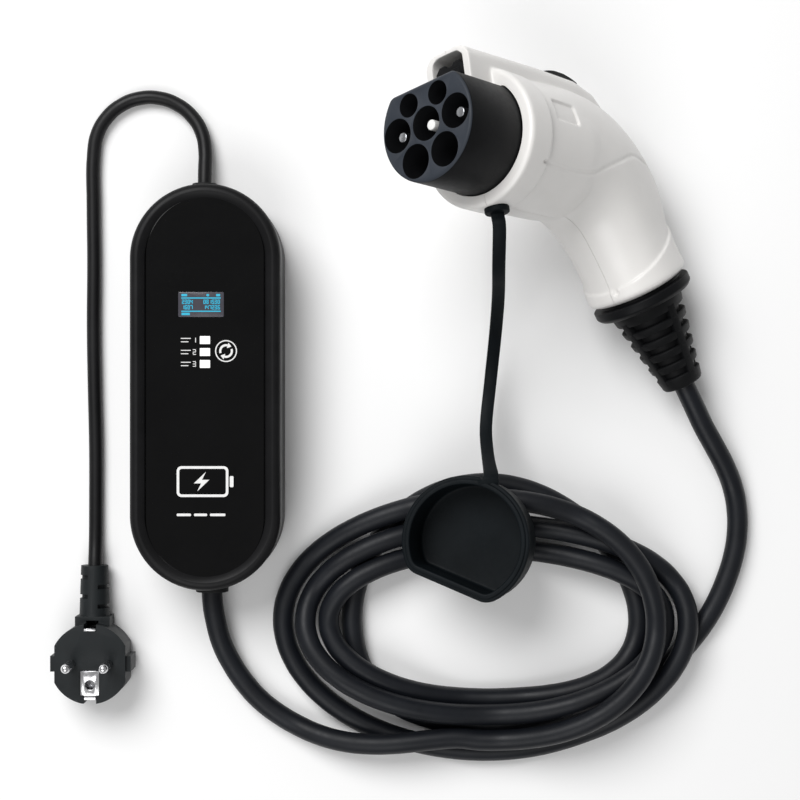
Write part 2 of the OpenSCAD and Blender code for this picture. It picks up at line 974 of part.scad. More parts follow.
rear_case();
front_case();
case_gasket();
front_panel();
display_module();
indicator_windows();
control_board();
main_board();
power_module();
relays();
leakage_sensor();
terminal_block();
input_grommet();
output_grommet();
case_screws();
plug_body();
plug_pins();
earth_clip();
mains_lead();
charge_cable_in();
charge_cable_coil();
charge_cable_out();
gun_left_shell();
gun_right_shell();
nose();
contact_carrier();
power_contacts();
signal_contacts();
latch_lever();
latch_pin();
latch_spring();
release_button();
latch_switch();
handle_end_ring();
gun_strain_relief();
gun_cable_clamp();
shell_screws();
tether_strap();
dust_cap();
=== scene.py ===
import math

import bmesh
import bpy
import numpy as np
from bpy.props import FloatProperty, FloatVectorProperty, PointerProperty
from bpy.types import Operator, Panel, PropertyGroup
from mathutils import Euler, Matrix, Vector


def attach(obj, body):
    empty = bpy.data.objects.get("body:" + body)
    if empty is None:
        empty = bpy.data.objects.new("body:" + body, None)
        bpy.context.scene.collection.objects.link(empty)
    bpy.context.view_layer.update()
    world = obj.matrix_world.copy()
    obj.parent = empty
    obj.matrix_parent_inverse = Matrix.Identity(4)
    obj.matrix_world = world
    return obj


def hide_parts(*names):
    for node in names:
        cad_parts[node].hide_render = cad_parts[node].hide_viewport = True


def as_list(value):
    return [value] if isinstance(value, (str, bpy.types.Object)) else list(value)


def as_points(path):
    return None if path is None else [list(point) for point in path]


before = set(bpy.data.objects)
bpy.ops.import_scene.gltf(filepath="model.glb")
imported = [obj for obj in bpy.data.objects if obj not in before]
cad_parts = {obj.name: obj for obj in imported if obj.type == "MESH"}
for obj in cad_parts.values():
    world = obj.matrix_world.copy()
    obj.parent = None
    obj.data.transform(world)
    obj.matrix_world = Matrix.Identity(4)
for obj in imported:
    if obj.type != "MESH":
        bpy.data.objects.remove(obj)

bl_info = {
    "name": "Portable car charger",
    "version": (1, 0, 0),
    "blender": (4, 5, 0),
    "location": "View3D > Sidebar > Charger",
    "description": "Builds the visible pieces of a portable car charger over its CAD frame",
    "category": "Object",
}

MM = 0.001
TINY = 1e-6


def placed(spot, turns):
    """Where a piece lies: its origin in metres and its turns about X, Y and Z in degrees."""
    turned = Euler([math.radians(a) for a in turns], "XYZ").to_matrix().to_4x4()
    return Matrix.Translation(spot) @ turned


GUN = placed((0.13437, 0.11761, 0.09803), (-17.03, -40.31, 18.02))
CAP = placed((0.137, -0.078, 0.0314), (3, -16, -22))

# The gun's axis in mm: straight behind the nose, round a bend, then straight along the handle.
BEND = math.radians(60)
BEND_RADIUS = 50
BEND_START = -53.13
AXES_CROSS = -82
GRIP = GUN @ Matrix.Translation((0, 0, AXES_CROSS * MM)) @ Matrix.Rotation(math.pi - BEND, 4, "X")

# Heights in mm on the front of the box.
PANEL_LOW, PANEL_TOP = 41.2, 43.2
DISPLAY_TOP = 43.0
PRINT = (43.195, 43.235)
FIGURES = (DISPLAY_TOP, 43.03)
ABOVE = 45

# Places in mm on the front of the box.
DISPLAY = (-2, 41.5)
LAMP_ROWS = (23.6, 17.6, 11.6)
KEY = (10.6, 18.1)
BATTERY = (-1.2, -47.5)


# Helpers: selecting, cutting, softening and finishing pieces.


def only(*objs):
    """Leaves just these objects selected, the last one active, in object mode."""
    if bpy.context.mode != "OBJECT":
        bpy.ops.object.mode_set(mode="OBJECT")
    bpy.ops.object.select_all(action="DESELECT")
    for o in objs:
        o.select_set(True)
    bpy.context.view_layer.objects.active = objs[-1]


def edit(obj):
    """Opens one object for editing with everything selected."""
    only(obj)
    bpy.ops.object.mode_set(mode="EDIT")
    bpy.ops.mesh.select_all(action="SELECT")


def leave():
    """Ends editing."""
    bpy.ops.object.mode_set(mode="OBJECT")


def pick(obj, kind, test):
    """Selects the vertices, edges or faces that pass a test of their middle and themselves."""
    bpy.ops.mesh.select_mode(type=kind)
    bpy.ops.mesh.select_all(action="DESELECT")
    bm = bmesh.from_edit_mesh(obj.data)
    for e in {"VERT": bm.verts, "EDGE": bm.edges, "FACE": bm.faces}[kind]:
        if kind == "VERT":
            mid = e.co
        elif kind == "EDGE":
            mid = (e.verts[0].co + e.verts[1].co) / 2
        else:
            mid = e.calc_center_median()
        if test(mid, e):
            e.select_set(True)
    bm.select_flush_mode()
    bmesh.update_edit_mesh(obj.data)


def newest(name):
    """Names the object that was just made."""
    obj = bpy.context.active_object
    obj.name = name
    obj.data.name = name
    return obj


def settle_in(obj, matrix):
    """Puts a piece that was drawn about its own axes where it belongs."""
    obj.matrix_world = matrix @ obj.matrix_world
    only(obj)
    bpy.ops.object.transform_apply(location=True, rotation=True, scale=True)


def modify(obj, kind, **settings):
    """Adds a modifier, sets it up and applies it."""
    only(obj)
    bpy.ops.object.modifier_add(type=kind)
    mod = obj.modifiers[-1]
    for key, value in settings.items():
        setattr(mod, key, value)
    bpy.ops.object.modifier_apply(modifier=mod.name)


def soften(obj, width, segments=2, angle=30):
    """Rounds every edge of a piece that is sharper than the angle; the width is in mm."""
    modify(
        obj,
        "BEVEL",
        width=width * MM,
        segments=segments,
        limit_method="ANGLE",
        angle_limit=math.radians(angle),
    )


def round_edges(obj, width, segments, test, **settings):
    """Rounds the edges of a piece that pass the test; the width is in mm."""
    edit(obj)
    pick(obj, "EDGE", test)
    bpy.ops.mesh.bevel(offset=width * MM, segments=segments, affect="EDGES", **settings)
    leave()


def at_height(z):
    """A test for edges that lie level at a height in mm."""
    return lambda c, e: all(abs(v.co.z - z * MM) < TINY for v in e.verts)


def thicken(along):
    """Pulls the open shape along a vector in mm into a solid and leaves it."""
    bpy.ops.mesh.select_all(action="SELECT")
    bpy.ops.mesh.extrude_region_move(TRANSFORM_OT_translate={"value": [v * MM for v in along]})
    bpy.ops.mesh.select_all(action="SELECT")
    bpy.ops.mesh.normals_make_consistent(inside=False)
    leave()


def cut(obj, tool, how="DIFFERENCE"):
    """Cuts a tool out of a piece, or joins it on, and removes the tool."""
    modify(obj, "BOOLEAN", operation=how, solver="EXACT", object=tool)
    bpy.data.objects.remove(tool, do_unlink=True)


def done(obj, look, slot, body="charger", nodes=(), smooth=35):
    """Last steps for every piece: shading, finish, body and the CAD nodes it stands for; the slot is not
    used.
    """
    if obj.type == "MESH":
        only(obj)
        bpy.ops.object.shade_smooth_by_angle(angle=math.radians(smooth))
    obj.data.materials.clear()
    obj.data.materials.append(finish(look))
    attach(obj, body)
    if nodes:
        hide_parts(*nodes)
    return obj


def soft_copy(node, name, width, segments=2):
    """A merged copy of a CAD piece with its edges rounded as a mould or a press leaves them; in mm."""
    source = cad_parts[node]
    only(source)
    bpy.ops.object.duplicate()
    obj = newest(name)
    world = obj.matrix_world.copy()
    obj.parent = None
    obj.matrix_world = world
    for key in list(obj.keys()):
        del obj[key]
    edit(obj)
    bpy.ops.mesh.remove_doubles(threshold=2e-6)
    bpy.ops.mesh.dissolve_limited(angle_limit=math.radians(0.6))
    leave()
    soften(obj, width, segments)
    return obj


def from_cad(node, name, width, look, slot, body="charger", segments=2):
    """A finished piece that is a softened copy of one CAD piece; the width is in mm."""
    return done(soft_copy(node, name, width, segments), look, slot, body, [node])


def stadium(name, radius, reach, z0, z1, count=96):
    """A bar with round ends along Y, from z0 up to z1; sizes in mm."""
    bpy.ops.mesh.primitive_circle_add(
        vertices=count, radius=radius * MM, fill_type="NGON", rotation=(0, 0, math.pi / count)
    )
    obj = newest(name)
    bpy.ops.object.transform_apply(rotation=True)
    edit(obj)
    pick(obj, "VERT", lambda c, e: c.y > 0)
    bpy.ops.transform.translate(value=(0, reach * MM, 0))
    pick(obj, "VERT", lambda c, e: c.y < 0)
    bpy.ops.transform.translate(value=(0, -reach * MM, 0))
    bpy.ops.mesh.select_all(action="SELECT")
    bpy.ops.transform.translate(value=(0, 0, z0 * MM))
    thicken((0, 0, z1 - z0))
    return obj


# Shared effects: node groups that give colours, values and normals.


def group(name, inputs, outputs):
    """A new node group with its sockets: the tree, its input node and its output node."""
    tree = bpy.data.node_groups.new(name, "ShaderNodeTree")
    for label, kind, default in inputs:
        s = tree.interface.new_socket(label, in_out="INPUT", socket_type=kind)
        if default is not None:
            s.default_value = default
    for label, kind in outputs:
        tree.interface.new_socket(label, in_out="OUTPUT", socket_type=kind)
    return tree, tree.nodes.new("NodeGroupInput"), tree.nodes.new("NodeGroupOutput")


def node(tree, kind, values=(), **settings):
    """A new node with its settings, and its input values as pairs."""
    n = tree.nodes.new(kind)
    for key, value in settings.items():
        setattr(n, key, value)
    for key, value in values:
        n.inputs[key].default_value = value
    return n


def link(tree, *wires):
    """Joins nodes; each wire is a node, its output, the next node and its input."""
    for start, output, end, into in wires:
        tree.links.new(start.outputs[output], end.inputs[into])


def two_tones():
    """Mottled colour between two tones, as moulded plastic and rubber have."""
    if "Two tones" in bpy.data.node_groups:
        return bpy.data.node_groups["Two tones"]
    t, i, o = group(
        "Two tones",
        [
            ("Place", "NodeSocketVector", None),
            ("Light tone", "NodeSocketColor", (0.8, 0.8, 0.8, 1)),
            ("Dark tone", "NodeSocketColor", (0.6, 0.6, 0.6, 1)),
            ("Scale", "NodeSocketFloat", 40.0),
        ],
        [("Colour", "NodeSocketColor")],
    )
    n = node(t, "ShaderNodeTexNoise", [("Detail", 5), ("Roughness", 0.6)])
    r = node(t, "ShaderNodeMapRange", [("From Min", 0.32), ("From Max", 0.68)])
    m = node(t, "ShaderNodeMix", data_type="RGBA")
    link(
        t,
        (i, "Place", n, "Vector"),
        (i, "Scale", n, "Scale"),
        (n, "Fac", r, "Value"),
        (r, "Result", m, "Factor"),
        (i, "Light tone", m, "A"),
        (i, "Dark tone", m, "B"),
        (m, "Result", o, "Colour"),
    )
    return t


def grain():
    """Fine moulded grain as a normal."""
    if "Moulded grain" in bpy.data.node_groups:
        return bpy.data.node_groups["Moulded grain"]
    t, i, o = group(
        "Moulded grain",
        [
            ("Place", "NodeSocketVector", None),
            ("Scale", "NodeSocketFloat", 1800.0),
            ("Strength", "NodeSocketFloat", 0.1),
        ],
        [("Normal", "NodeSocketVector")],
    )
    n = node(t, "ShaderNodeTexNoise", [("Detail", 3)])
    b = node(t, "ShaderNodeBump", [("Distance", 0.0002)])
    link(
        t,
        (i, "Place", n, "Vector"),
        (i, "Scale", n, "Scale"),
        (i, "Strength", b, "Strength"),
        (n, "Fac", b, "Height"),
        (b, "Normal", o, "Normal"),
    )
    return t


def handled():
    """Roughness that varies with handling: broad smears and fine streaks."""
    if "Handling" in bpy.data.node_groups:
        return bpy.data.node_groups["Handling"]
    t, i, o = group(
        "Handling",
        [
            ("Place", "NodeSocketVector", None),
            ("Smooth", "NodeSocketFloat", 0.3),
            ("Dull", "NodeSocketFloat", 0.5),
        ],
        [("Roughness", "NodeSocketFloat")],
    )
    broad = node(t, "ShaderNodeTexNoise", [("Scale", 28), ("Detail", 4)])
    fine = node(t, "ShaderNodeTexNoise", [("Scale", 420), ("Detail", 2)])
    mix = node(t, "ShaderNodeMath", [(1, 0.4)], operation="MULTIPLY_ADD")
    r = node(t, "ShaderNodeMapRange", [("From Min", 0.45), ("From Max", 0.95)])
    link(
        t,
        (i, "Place", broad, "Vector"),
        (i, "Place", fine, "Vector"),
        (fine, "Fac", mix, 0),
        (broad, "Fac", mix, 2),
        (mix, "Value", r, "Value"),
        (i, "Smooth", r, "To Min"),
        (i, "Dull", r, "To Max"),
        (r, "Result", o, "Roughness"),
    )
    return t


# Finishes: light tone, dark tone, fineness of the mottling, roughness from and to, fineness and depth of
# the grain, and other inputs of the shader.
SHINE = "Specular IOR Level"
METAL = {"Metallic": 1.0}
FINISHES = {
    "Pale floor": ((0.93, 0.93, 0.93), (0.92, 0.92, 0.92), 3, (0.7, 0.85), (300, 0.0), {}),
    "Dark satin plastic": (
        (0.0095, 0.0095, 0.0102), (0.0065, 0.0065, 0.007), 60, (0.34, 0.48), (2600, 0.10), {SHINE: 0.14}
    ),
    "Glossy panel": (
        (0.0042, 0.0042, 0.0044), (0.003, 0.003, 0.0032), 30, (0.08, 0.17), (900, 0.015), {SHINE: 0.15}
    ),
    "Warm white plastic": (
        (0.82, 0.805, 0.785), (0.77, 0.755, 0.735), 22, (0.3, 0.46), (2200, 0.05),
        {"Coat Weight": 0.1, "Coat Roughness": 0.2},
    ),
    # Black plastic lightened to a slate grey: painted light for the nose's front face, which turns towards
    # the lamps.
    "Black plastic with painted light": (
        (0.026, 0.032, 0.043), (0.019, 0.024, 0.033), 50, (0.42, 0.6), (2600, 0.14), {SHINE: 0.3}
    ),
    "Black plastic": (
        (0.0070, 0.0073, 0.0082), (0.0045, 0.0047, 0.0054), 60, (0.38, 0.55), (2600, 0.12), {SHINE: 0.1}
    ),
    "Cable sheath": (
        (0.0085, 0.0100, 0.0136), (0.0048, 0.0058, 0.0082), 36, (0.36, 0.54), (1500, 0.12), {SHINE: 0.26}
    ),
    "Lead sheath": (
        (0.0068, 0.0068, 0.0076), (0.0042, 0.0042, 0.0048), 40, (0.36, 0.54), (1700, 0.12), {SHINE: 0.24}
    ),
    "Cap rubber": (
        (0.0048, 0.0072, 0.0090), (0.0030, 0.0046, 0.0058), 34, (0.45, 0.65), (1500, 0.15), {SHINE: 0.1}
    ),
    "Plug rubber": (
        (0.0110, 0.0140, 0.0155), (0.0072, 0.0092, 0.0104), 40, (0.44, 0.62), (1900, 0.16), {SHINE: 0.24}
    ),
    "Boot rubber": (
        (0.0050, 0.0053, 0.0060), (0.0030, 0.0032, 0.0037), 50, (0.42, 0.6), (1800, 0.14), {SHINE: 0.16}
    ),
    "Seal rubber": (
        (0.009, 0.0095, 0.010), (0.006, 0.0064, 0.007), 50, (0.55, 0.75), (1800, 0.1), {SHINE: 0.25}
    ),
    "Nickel plate": ((0.78, 0.78, 0.79), (0.68, 0.68, 0.70), 120, (0.14, 0.28), (900, 0.03), METAL),
    "Plated contact": ((0.80, 0.74, 0.58), (0.70, 0.63, 0.46), 120, (0.2, 0.34), (900, 0.03), METAL),
    "Screw steel": ((0.5, 0.51, 0.53), (0.38, 0.39, 0.41), 140, (0.25, 0.4), (900, 0.05), METAL),
    "White print": ((0.86, 0.86, 0.85), (0.74, 0.74, 0.73), 900, (0.5, 0.7), (2500, 0.1), {}),
    "Lit cyan": (
        (0.012, 0.32, 0.46), (0.009, 0.28, 0.41), 700, (0.4, 0.5), (2000, 0.0),
        {"Emission Color": (0.005, 0.19, 0.28, 1), "Emission Strength": 0.8},
    ),
    "Lamp window": (
        (0.9, 0.9, 0.89), (0.82, 0.82, 0.81), 200, (0.2, 0.35), (1500, 0.02),
        {"Emission Color": (1, 1, 0.98, 1), "Emission Strength": 0.22},
    ),
    "Display glass": (
        (0.064, 0.062, 0.076), (0.054, 0.052, 0.064), 160, (0.12, 0.25), (900, 0.01), {SHINE: 0.3}
    ),
    "Board": ((0.03, 0.16, 0.08), (0.02, 0.11, 0.055), 90, (0.3, 0.5), (1500, 0.05), {}),
    "Dark block": ((0.03, 0.03, 0.034), (0.02, 0.02, 0.023), 80, (0.45, 0.6), (1800, 0.1), {}),
    "Relay shell": ((0.04, 0.10, 0.2), (0.03, 0.075, 0.15), 70, (0.35, 0.5), (1600, 0.06), {}),
    "Terminal shell": ((0.05, 0.26, 0.11), (0.035, 0.19, 0.08), 70, (0.4, 0.55), (1600, 0.08), {}),
}


def finish(name):
    """A material from the table: mottled tones, handled roughness and a fine grain."""
    if name in bpy.data.materials:
        return bpy.data.materials[name]
    light, dark, scale, (smooth, dull), (fineness, depth), others = FINISHES[name]
    mat = bpy.data.materials.new(name)
    mat.use_nodes = True
    t = mat.node_tree
    p = t.nodes["Principled BSDF"]
    place = node(t, "ShaderNodeTexCoord")
    tones = [("Light tone", (*light, 1)), ("Dark tone", (*dark, 1)), ("Scale", scale)]
    tone = node(t, "ShaderNodeGroup", node_tree=two_tones(), values=tones)
    rough = node(t, "ShaderNodeGroup", node_tree=handled(), values=[("Smooth", smooth), ("Dull", dull)])
    bumps = [("Scale", fineness), ("Strength", depth)]
    relief = node(t, "ShaderNodeGroup", node_tree=grain(), values=bumps)
    for effect, output, into in (
        (tone, "Colour", "Base Color"),
        (rough, "Roughness", "Roughness"),
        (relief, "Normal", "Normal"),
    ):
        link(t, (place, "Object", effect, "Place"), (effect, output, p, into))
    for key, value in others.items():
        p.inputs[key].default_value = value
    return mat


# Cords: the lines they follow, in mm.


def spline(points, steps):
    """A smooth line through points, with that many steps between two of them."""
    p = [np.array(q, float) for q in points]
    p = [2 * p[0] - p[1]] + p + [2 * p[-1] - p[-2]]
    out = []
    for a, b, c, d in zip(p, p[1:], p[2:], p[3:]):
        for j in range(steps):
            t = j / steps
            square = (2 * a - 5 * b + 4 * c - d) * t * t
            cube = (3 * b - a - 3 * c + d) * t**3
            out.append(0.5 * (2 * b + (c - a) * t + square + cube))
    out.append(p[-2])
    return np.array(out)


def evenly(line, gap):
    """The same line with its points that far apart."""
    d = np.linalg.norm(np.diff(line[:, :2], axis=0), axis=1)
    s = np.concatenate([[0], np.cumsum(d)])
    n = max(2, int(round(s[-1] / gap)))
    even = np.linspace(0, s[-1], n + 1)
    return np.array([np.interp(even, s, line[:, k]) for k in range(line.shape[1])]).T


def grip_spot(s, out=0.0):
    """A point of the gun: s along the handle from where the axes cross, and out to its outer side."""
    y = -s * math.sin(BEND) + out * math.cos(BEND)
    z = AXES_CROSS - s * math.cos(BEND) - out * math.sin(BEND)
    return Vector((0, y, z))


# The coil: its middle, and how far its line is from there at the sides and ends, by degrees of turn.
COIL = (143, -121)
COIL_SIDES = {
    180: 92, 360: 86, 540: 106, 720: 104, 900: 94, 1080: 92, 1260: 82, 1440: 79.5, 1620: 70, 1800: 98
}
COIL_ENDS = {270: 61.8, 450: 64, 630: 68.5, 810: 50, 990: 48.3, 1170: 37, 1350: 41.5, 1530: 71, 1710: 55}
COIL_GAP = 3.0
LAST_TURN = 1800


def between(table, t):
    """An eased value between the two entries that lie round t."""
    keys = sorted(table)
    t = min(max(t, keys[0]), keys[-1] - TINY)
    k = max(x for x in keys if x <= t)
    n = keys[keys.index(k) + 1]
    w = (1 - math.cos(math.pi * (t - k) / (n - k))) / 2
    return table[k] * (1 - w) + table[n] * w


def cable_route():
    """The cable from the box round the coil to the gun: x, y, a height or 0 for the ground, and the turn."""
    out_of_box = ((0.5, -98, 11), (0.5, -106, 11), (1.5, -118, 9))
    to_coil = ((8, -140), (25, -163), (51, -179), (82, -184.5))
    from_coil = ((216, -157), (238, -144), (256, -124), (268, -101), (274, -76), (271, -50))
    up_handle = (149, 136, 123, 108, 92, 78)
    route = [(*q, 0) for q in out_of_box] + [(*q, 0, 0) for q in to_coil]
    for t in range(258, 1741, 12):
        a = math.radians(t)
        x = COIL[0] + between(COIL_SIDES, t) * math.cos(a)
        y = COIL[1] + between(COIL_ENDS, t) * math.sin(a)
        route.append((x, y, 0, t))
    route += [(*q, 0, LAST_TURN) for q in from_coil]
    for s in up_handle:
        q = GUN @ (grip_spot(s) * MM) / MM
        route.append((q.x, q.y, q.z, LAST_TURN))
    return route


def coil_line(d):
    """The charge cable's line: each turn lies on the later turns that it crosses."""
    line = evenly(spline(cable_route(), 8), COIL_GAP)
    xy, turn = line[:, :2], line[:, 3]
    n = len(line)
    step = np.arange(n)
    low = np.maximum(line[:, 2], d / 2 + 0.1)

    # One turn rises to carry the cap.
    carry_x, carry_y, carry_z, carry_width = 161, -58, 28.1, 20
    carrying = (turn > 360) & (turn < 540)
    peak = np.argmin(np.where(carrying, np.hypot(xy[:, 0] - carry_x, xy[:, 1] - carry_y), np.inf))
    low = np.maximum(low, carry_z * np.exp(-(((step - peak) * COIL_GAP / carry_width) ** 2)))

    # Pairs of points where an earlier part crosses over a later one, and how far it has to rise there.
    neighbours = 12
    reach = d * 1.01
    gap = np.hypot(xy[:, None, 0] - xy[None, :, 0], xy[:, None, 1] - xy[None, :, 1])
    apart = step[None, :] - step[:, None] > neighbours
    over, under = np.nonzero((gap < reach) & apart)
    rise = np.sqrt(reach**2 - gap[over, under] ** 2)

    # The stiff cable leaves each crossing in a shallow curve and then a straight slope.
    spread, knee, knee_drop, bend, slope = 41, 26.7, 4.45, 160, 3
    away = np.arange(spread) * COIL_GAP
    drops = np.where(away < knee, away**2 / bend, knee_drop + (away - knee) / slope)
    z = low.copy()
    for _ in range(14):
        touch = low.copy()
        np.maximum.at(touch, over, z[under] + rise)
        z = touch.copy()
        for k in range(1, spread):
            z[k:] = np.maximum(z[k:], touch[:-k] - drops[k])
            z[:-k] = np.maximum(z[:-k], touch[k:] - drops[k])
    window = np.hanning(11)
    soft = np.convolve(np.pad(z, 4, mode="edge"), window[1:-1] / window.sum(), mode="valid")
    z = np.where(line[:, 2] > 0.5, z, soft)
    return np.column_stack([xy, z])


def cord_curve(name, points, d):
    """A round cord as a curve through points in mm."""
    bpy.ops.curve.primitive_bezier_curve_add()
    obj = newest(name)
    c = obj.data
    c.splines.clear()
    c.dimensions = "3D"
    c.bevel_depth = d / 2 * MM
    c.bevel_resolution = 8
    c.use_fill_caps = True
    c.resolution_u = 5
    s = c.splines.new("BEZIER")
    s.bezier_points.add(len(points) - 1)
    for b, q in zip(s.bezier_points, points):
        b.co = Vector(q) * MM
        b.handle_left_type = b.handle_right_type = "AUTO"
    return obj


def length_of(points):
    """Length in metres of a line given in mm."""
    return float(np.linalg.norm(np.diff(np.array(points, float), axis=0), axis=1).sum()) * MM


# The stage and the cords.


class CHARGER_OT_stage(Operator):
    """Camera straight above, pale floor and soft light"""

    bl_idname = "charger.stage"
    bl_label = "Stage"

    def execute(self, context):
        s = context.scene.charger_stage
        bpy.ops.mesh.primitive_plane_add(size=8)
        floor = newest("floor")
        edit(floor)
        bpy.ops.mesh.subdivide(number_cuts=3)
        leave()
        floor.data.materials.append(finish("Pale floor"))
        aim = Vector((0.09, 0, 0.02))
        for label, spot, power in (
            ("key", (-0.62, 1.0, 1.6), s.key_power),
            ("fill", (-0.3, -1.05, 1.5), s.fill_power),
        ):
            bpy.ops.object.light_add(type="AREA", location=spot)
            lamp = newest(label)
            lamp.data.shape = "DISK"
            lamp.data.size = s.lamp_size
            lamp.data.energy = power
            lamp.rotation_euler = (aim - Vector(spot)).to_track_quat("-Z", "Y").to_euler()
        world = bpy.data.worlds.new("soft room")
        world.use_nodes = True
        room = world.node_tree.nodes["Background"]
        room.inputs["Color"].default_value = (1, 1, 1, 1)
        room.inputs["Strength"].default_value = s.room_light
        context.scene.world = world
        bpy.ops.object.camera_add(location=s.camera, rotation=(0, 0, 0))
        cam = newest("camera")
        cam.data.sensor_width = 36
        cam.data.lens = s.lens
        cam.data.clip_end = 20
        context.scene.camera = cam
        context.scene.view_settings.view_transform = "Standard"
        return {"FINISHED"}


class CHARGER_OT_lead(Operator):
    """Mains lead from the box's top end round to the plug"""

    bl_idname = "charger.lead"
    bl_label = "Mains lead"

    def execute(self, context):
        d = context.scene.charger_cords.lead_diameter / MM
        low = d / 2 + 0.2
        route = [(-3.5, 99, 10), (-3.5, 106, 10), (-3.5, 114, 8.8)]
        # A half circle that sinks to the ground.
        bend, x, y, high = 29.3, -32.8, 122.5, 7.2
        for turn in range(0, 181, 20):
            w = math.radians(turn)
            route.append((x + bend * math.cos(w), y + bend * math.sin(w), max(low, high - turn / 15)))
        along = ((-62.3, 95), (-62, 65), (-62.2, 32), (-61.7, 0), (-61, -32), (-61, -60))
        route += [(*q, low) for q in along]
        route += [(-61, -80, 4.6), (-61, -94, 7.2), (-61, -104, 8), (-61, -116, 8)]
        obj = cord_curve("mains_lead_cord", route, d)
        done(obj, "Lead sheath", "lead", nodes=["mains_lead"])
        length = length_of(spline(route, 8))
        return {"FINISHED"}


class CHARGER_OT_cable(Operator):
    """Charge cable: out of the box, four loose turns on the ground and up to the gun"""

    bl_idname = "charger.cable"
    bl_label = "Charge cable"

    def execute(self, context):
        d = context.scene.charger_cords.cable_diameter / MM
        line = coil_line(d)
        last = len(line) - 1
        steps = [*range(0, last, 4), last]
        obj = cord_curve("charge_cable_cord", line[steps], d)
        nodes = ["charge_cable_in", "charge_cable_coil", "charge_cable_out"]
        done(obj, "Cable sheath", "cable", nodes=nodes)
        return {"FINISHED"}


# Flat shapes and figures.


def tile(name, x, y, w, h, z0, z1, corner, steps=5):
    """A flat tile with rounded corners; sizes in mm."""
    bpy.ops.mesh.primitive_plane_add(size=1, location=(0, 0, 0))
    obj = newest(name)
    edit(obj)
    bpy.ops.transform.resize(value=(w * MM, h * MM, 1))
    bpy.ops.mesh.bevel(affect="VERTICES", offset=corner * MM, segments=steps)
    bpy.ops.mesh.select_all(action="SELECT")
    bpy.ops.transform.translate(value=(x * MM, y * MM, z0 * MM))
    thicken((0, 0, z1 - z0))
    return obj


def move_points(obj, place):
    """Sets each point of the piece being edited from its number and its old place."""
    bm = bmesh.from_edit_mesh(obj.data)
    for k, v in enumerate(bm.verts):
        v.co = place(k, v.co.copy())
    bmesh.update_edit_mesh(obj.data)


def sheet(name, spots):
    """A flat face through spots in mm, left open for editing."""
    bpy.ops.mesh.primitive_circle_add(vertices=len(spots), radius=MM, fill_type="NGON")
    obj = newest(name)
    edit(obj)
    move_points(obj, lambda k, q: Vector(spots[k]) * MM)
    return obj


def flat_shape(name, corners, z0, z1):
    """A flat shape from its corners, from z0 to z1; sizes in mm."""
    obj = sheet(name, [(x, y, z0) for x, y in corners])
    thicken((0, 0, z1 - z0))
    return obj


def ring(name, x, y, outer, inner, z0, z1, gaps=()):
    """A flat ring, open where an angle lies in one of the gaps; sizes in mm, angles in degrees."""

    def left_out(c, f):
        turn = math.degrees(math.atan2(c.y, c.x)) % 360
        return c.length < inner * 0.4 * MM or any(a < turn < b for a, b in gaps)

    bpy.ops.mesh.primitive_circle_add(vertices=72, radius=outer * MM, fill_type="NGON")
    obj = newest(name)
    edit(obj)
    bpy.ops.mesh.inset(thickness=(outer - inner) * MM, depth=0)
    pick(obj, "FACE", left_out)
    bpy.ops.mesh.delete(type="FACE")
    bpy.ops.mesh.select_all(action="SELECT")
    bpy.ops.transform.translate(value=(x * MM, y * MM, z0 * MM))
    thicken((0, 0, z1 - z0))
    return obj


def joined(name, objs):
    """Joins pieces into the last of them and names it."""
    only(*objs)
    bpy.ops.object.join()
    return newest(name)


LIT_BARS = {
    "0": "abcdef", "1": "bc", "2": "abged", "3": "abgcd", "4": "fgbc",
    "5": "afgcd", "6": "afgedc", "7": "abc", "8": "abcdefg",
}


def digit(value, x, y, w, h, z0, z1, bar):
    """One figure of seven bars, its lower left corner at x, y; sizes in mm."""
    level = {"a": h, "g": h / 2, "d": 0}
    upright = {"f": (0, 0.75 * h), "b": (w, 0.75 * h), "e": (0, 0.25 * h), "c": (w, 0.25 * h)}
    bars = []
    for k in LIT_BARS[value]:
        if k in level:
            spot, size = (w / 2, level[k]), (w + bar, bar)
        else:
            spot, size = upright[k], (bar, h / 2)
        bars.append(tile("bar", x + spot[0], y + spot[1], *size, z0, z1, bar * 0.2, 2))
    return bars


# The box, what is in it, and the plug.


class CHARGER_OT_case(Operator):
    """Both case halves with their seal, grommets and screws"""

    bl_idname = "charger.case"
    bl_label = "Case"

    def execute(self, context):
        s = context.scene.charger_box
        r, top, low = s.width / 2 / MM, s.depth / MM, s.split / MM + 0.8
        edge, land = s.edge_round / MM, 0.35
        front = stadium("front_case_shell", r, s.length / 2 / MM - r, low, top)
        round_edges(front, edge, 8, at_height(top), profile=0.5)
        edit(front)
        pick(front, "FACE", lambda c, f: f.normal.z > 0.99 and abs(c.z - s.depth) < TINY)
        slope = r - edge - 2 * land - s.panel_half_width / MM - 0.8
        # A flat land, a fine step, the slope down towards the panel, and the edge and floor of its seat.
        for inward, depth in ((land, 0), (land, -0.12), (slope, -1.85), (0.4, -0.6)):
            bpy.ops.mesh.inset(thickness=inward * MM, depth=depth * MM)
        bpy.ops.mesh.extrude_region_move(TRANSFORM_OT_translate={"value": (0, 0, -1.2 * MM)})
        leave()
        round_edges(front, 0.4, 2, at_height(low))
        edit(front)
        bpy.ops.mesh.normals_make_consistent(inside=False)
        leave()
        done(front, "Dark satin plastic", "case", nodes=["front_case"])
        from_cad("rear_case", "rear_case_shell", 0.35, "Dark satin plastic", "case")
        from_cad("case_gasket", "case_seal", 0.1, "Seal rubber", "seal")
        for n in ("input_grommet", "output_grommet"):
            from_cad(n, n + "_sleeve", 0.5, "Seal rubber", "seal", segments=3)
        from_cad("case_screws", "case_screw_set", 0.12, "Screw steel", "steel")
        return {"FINISHED"}


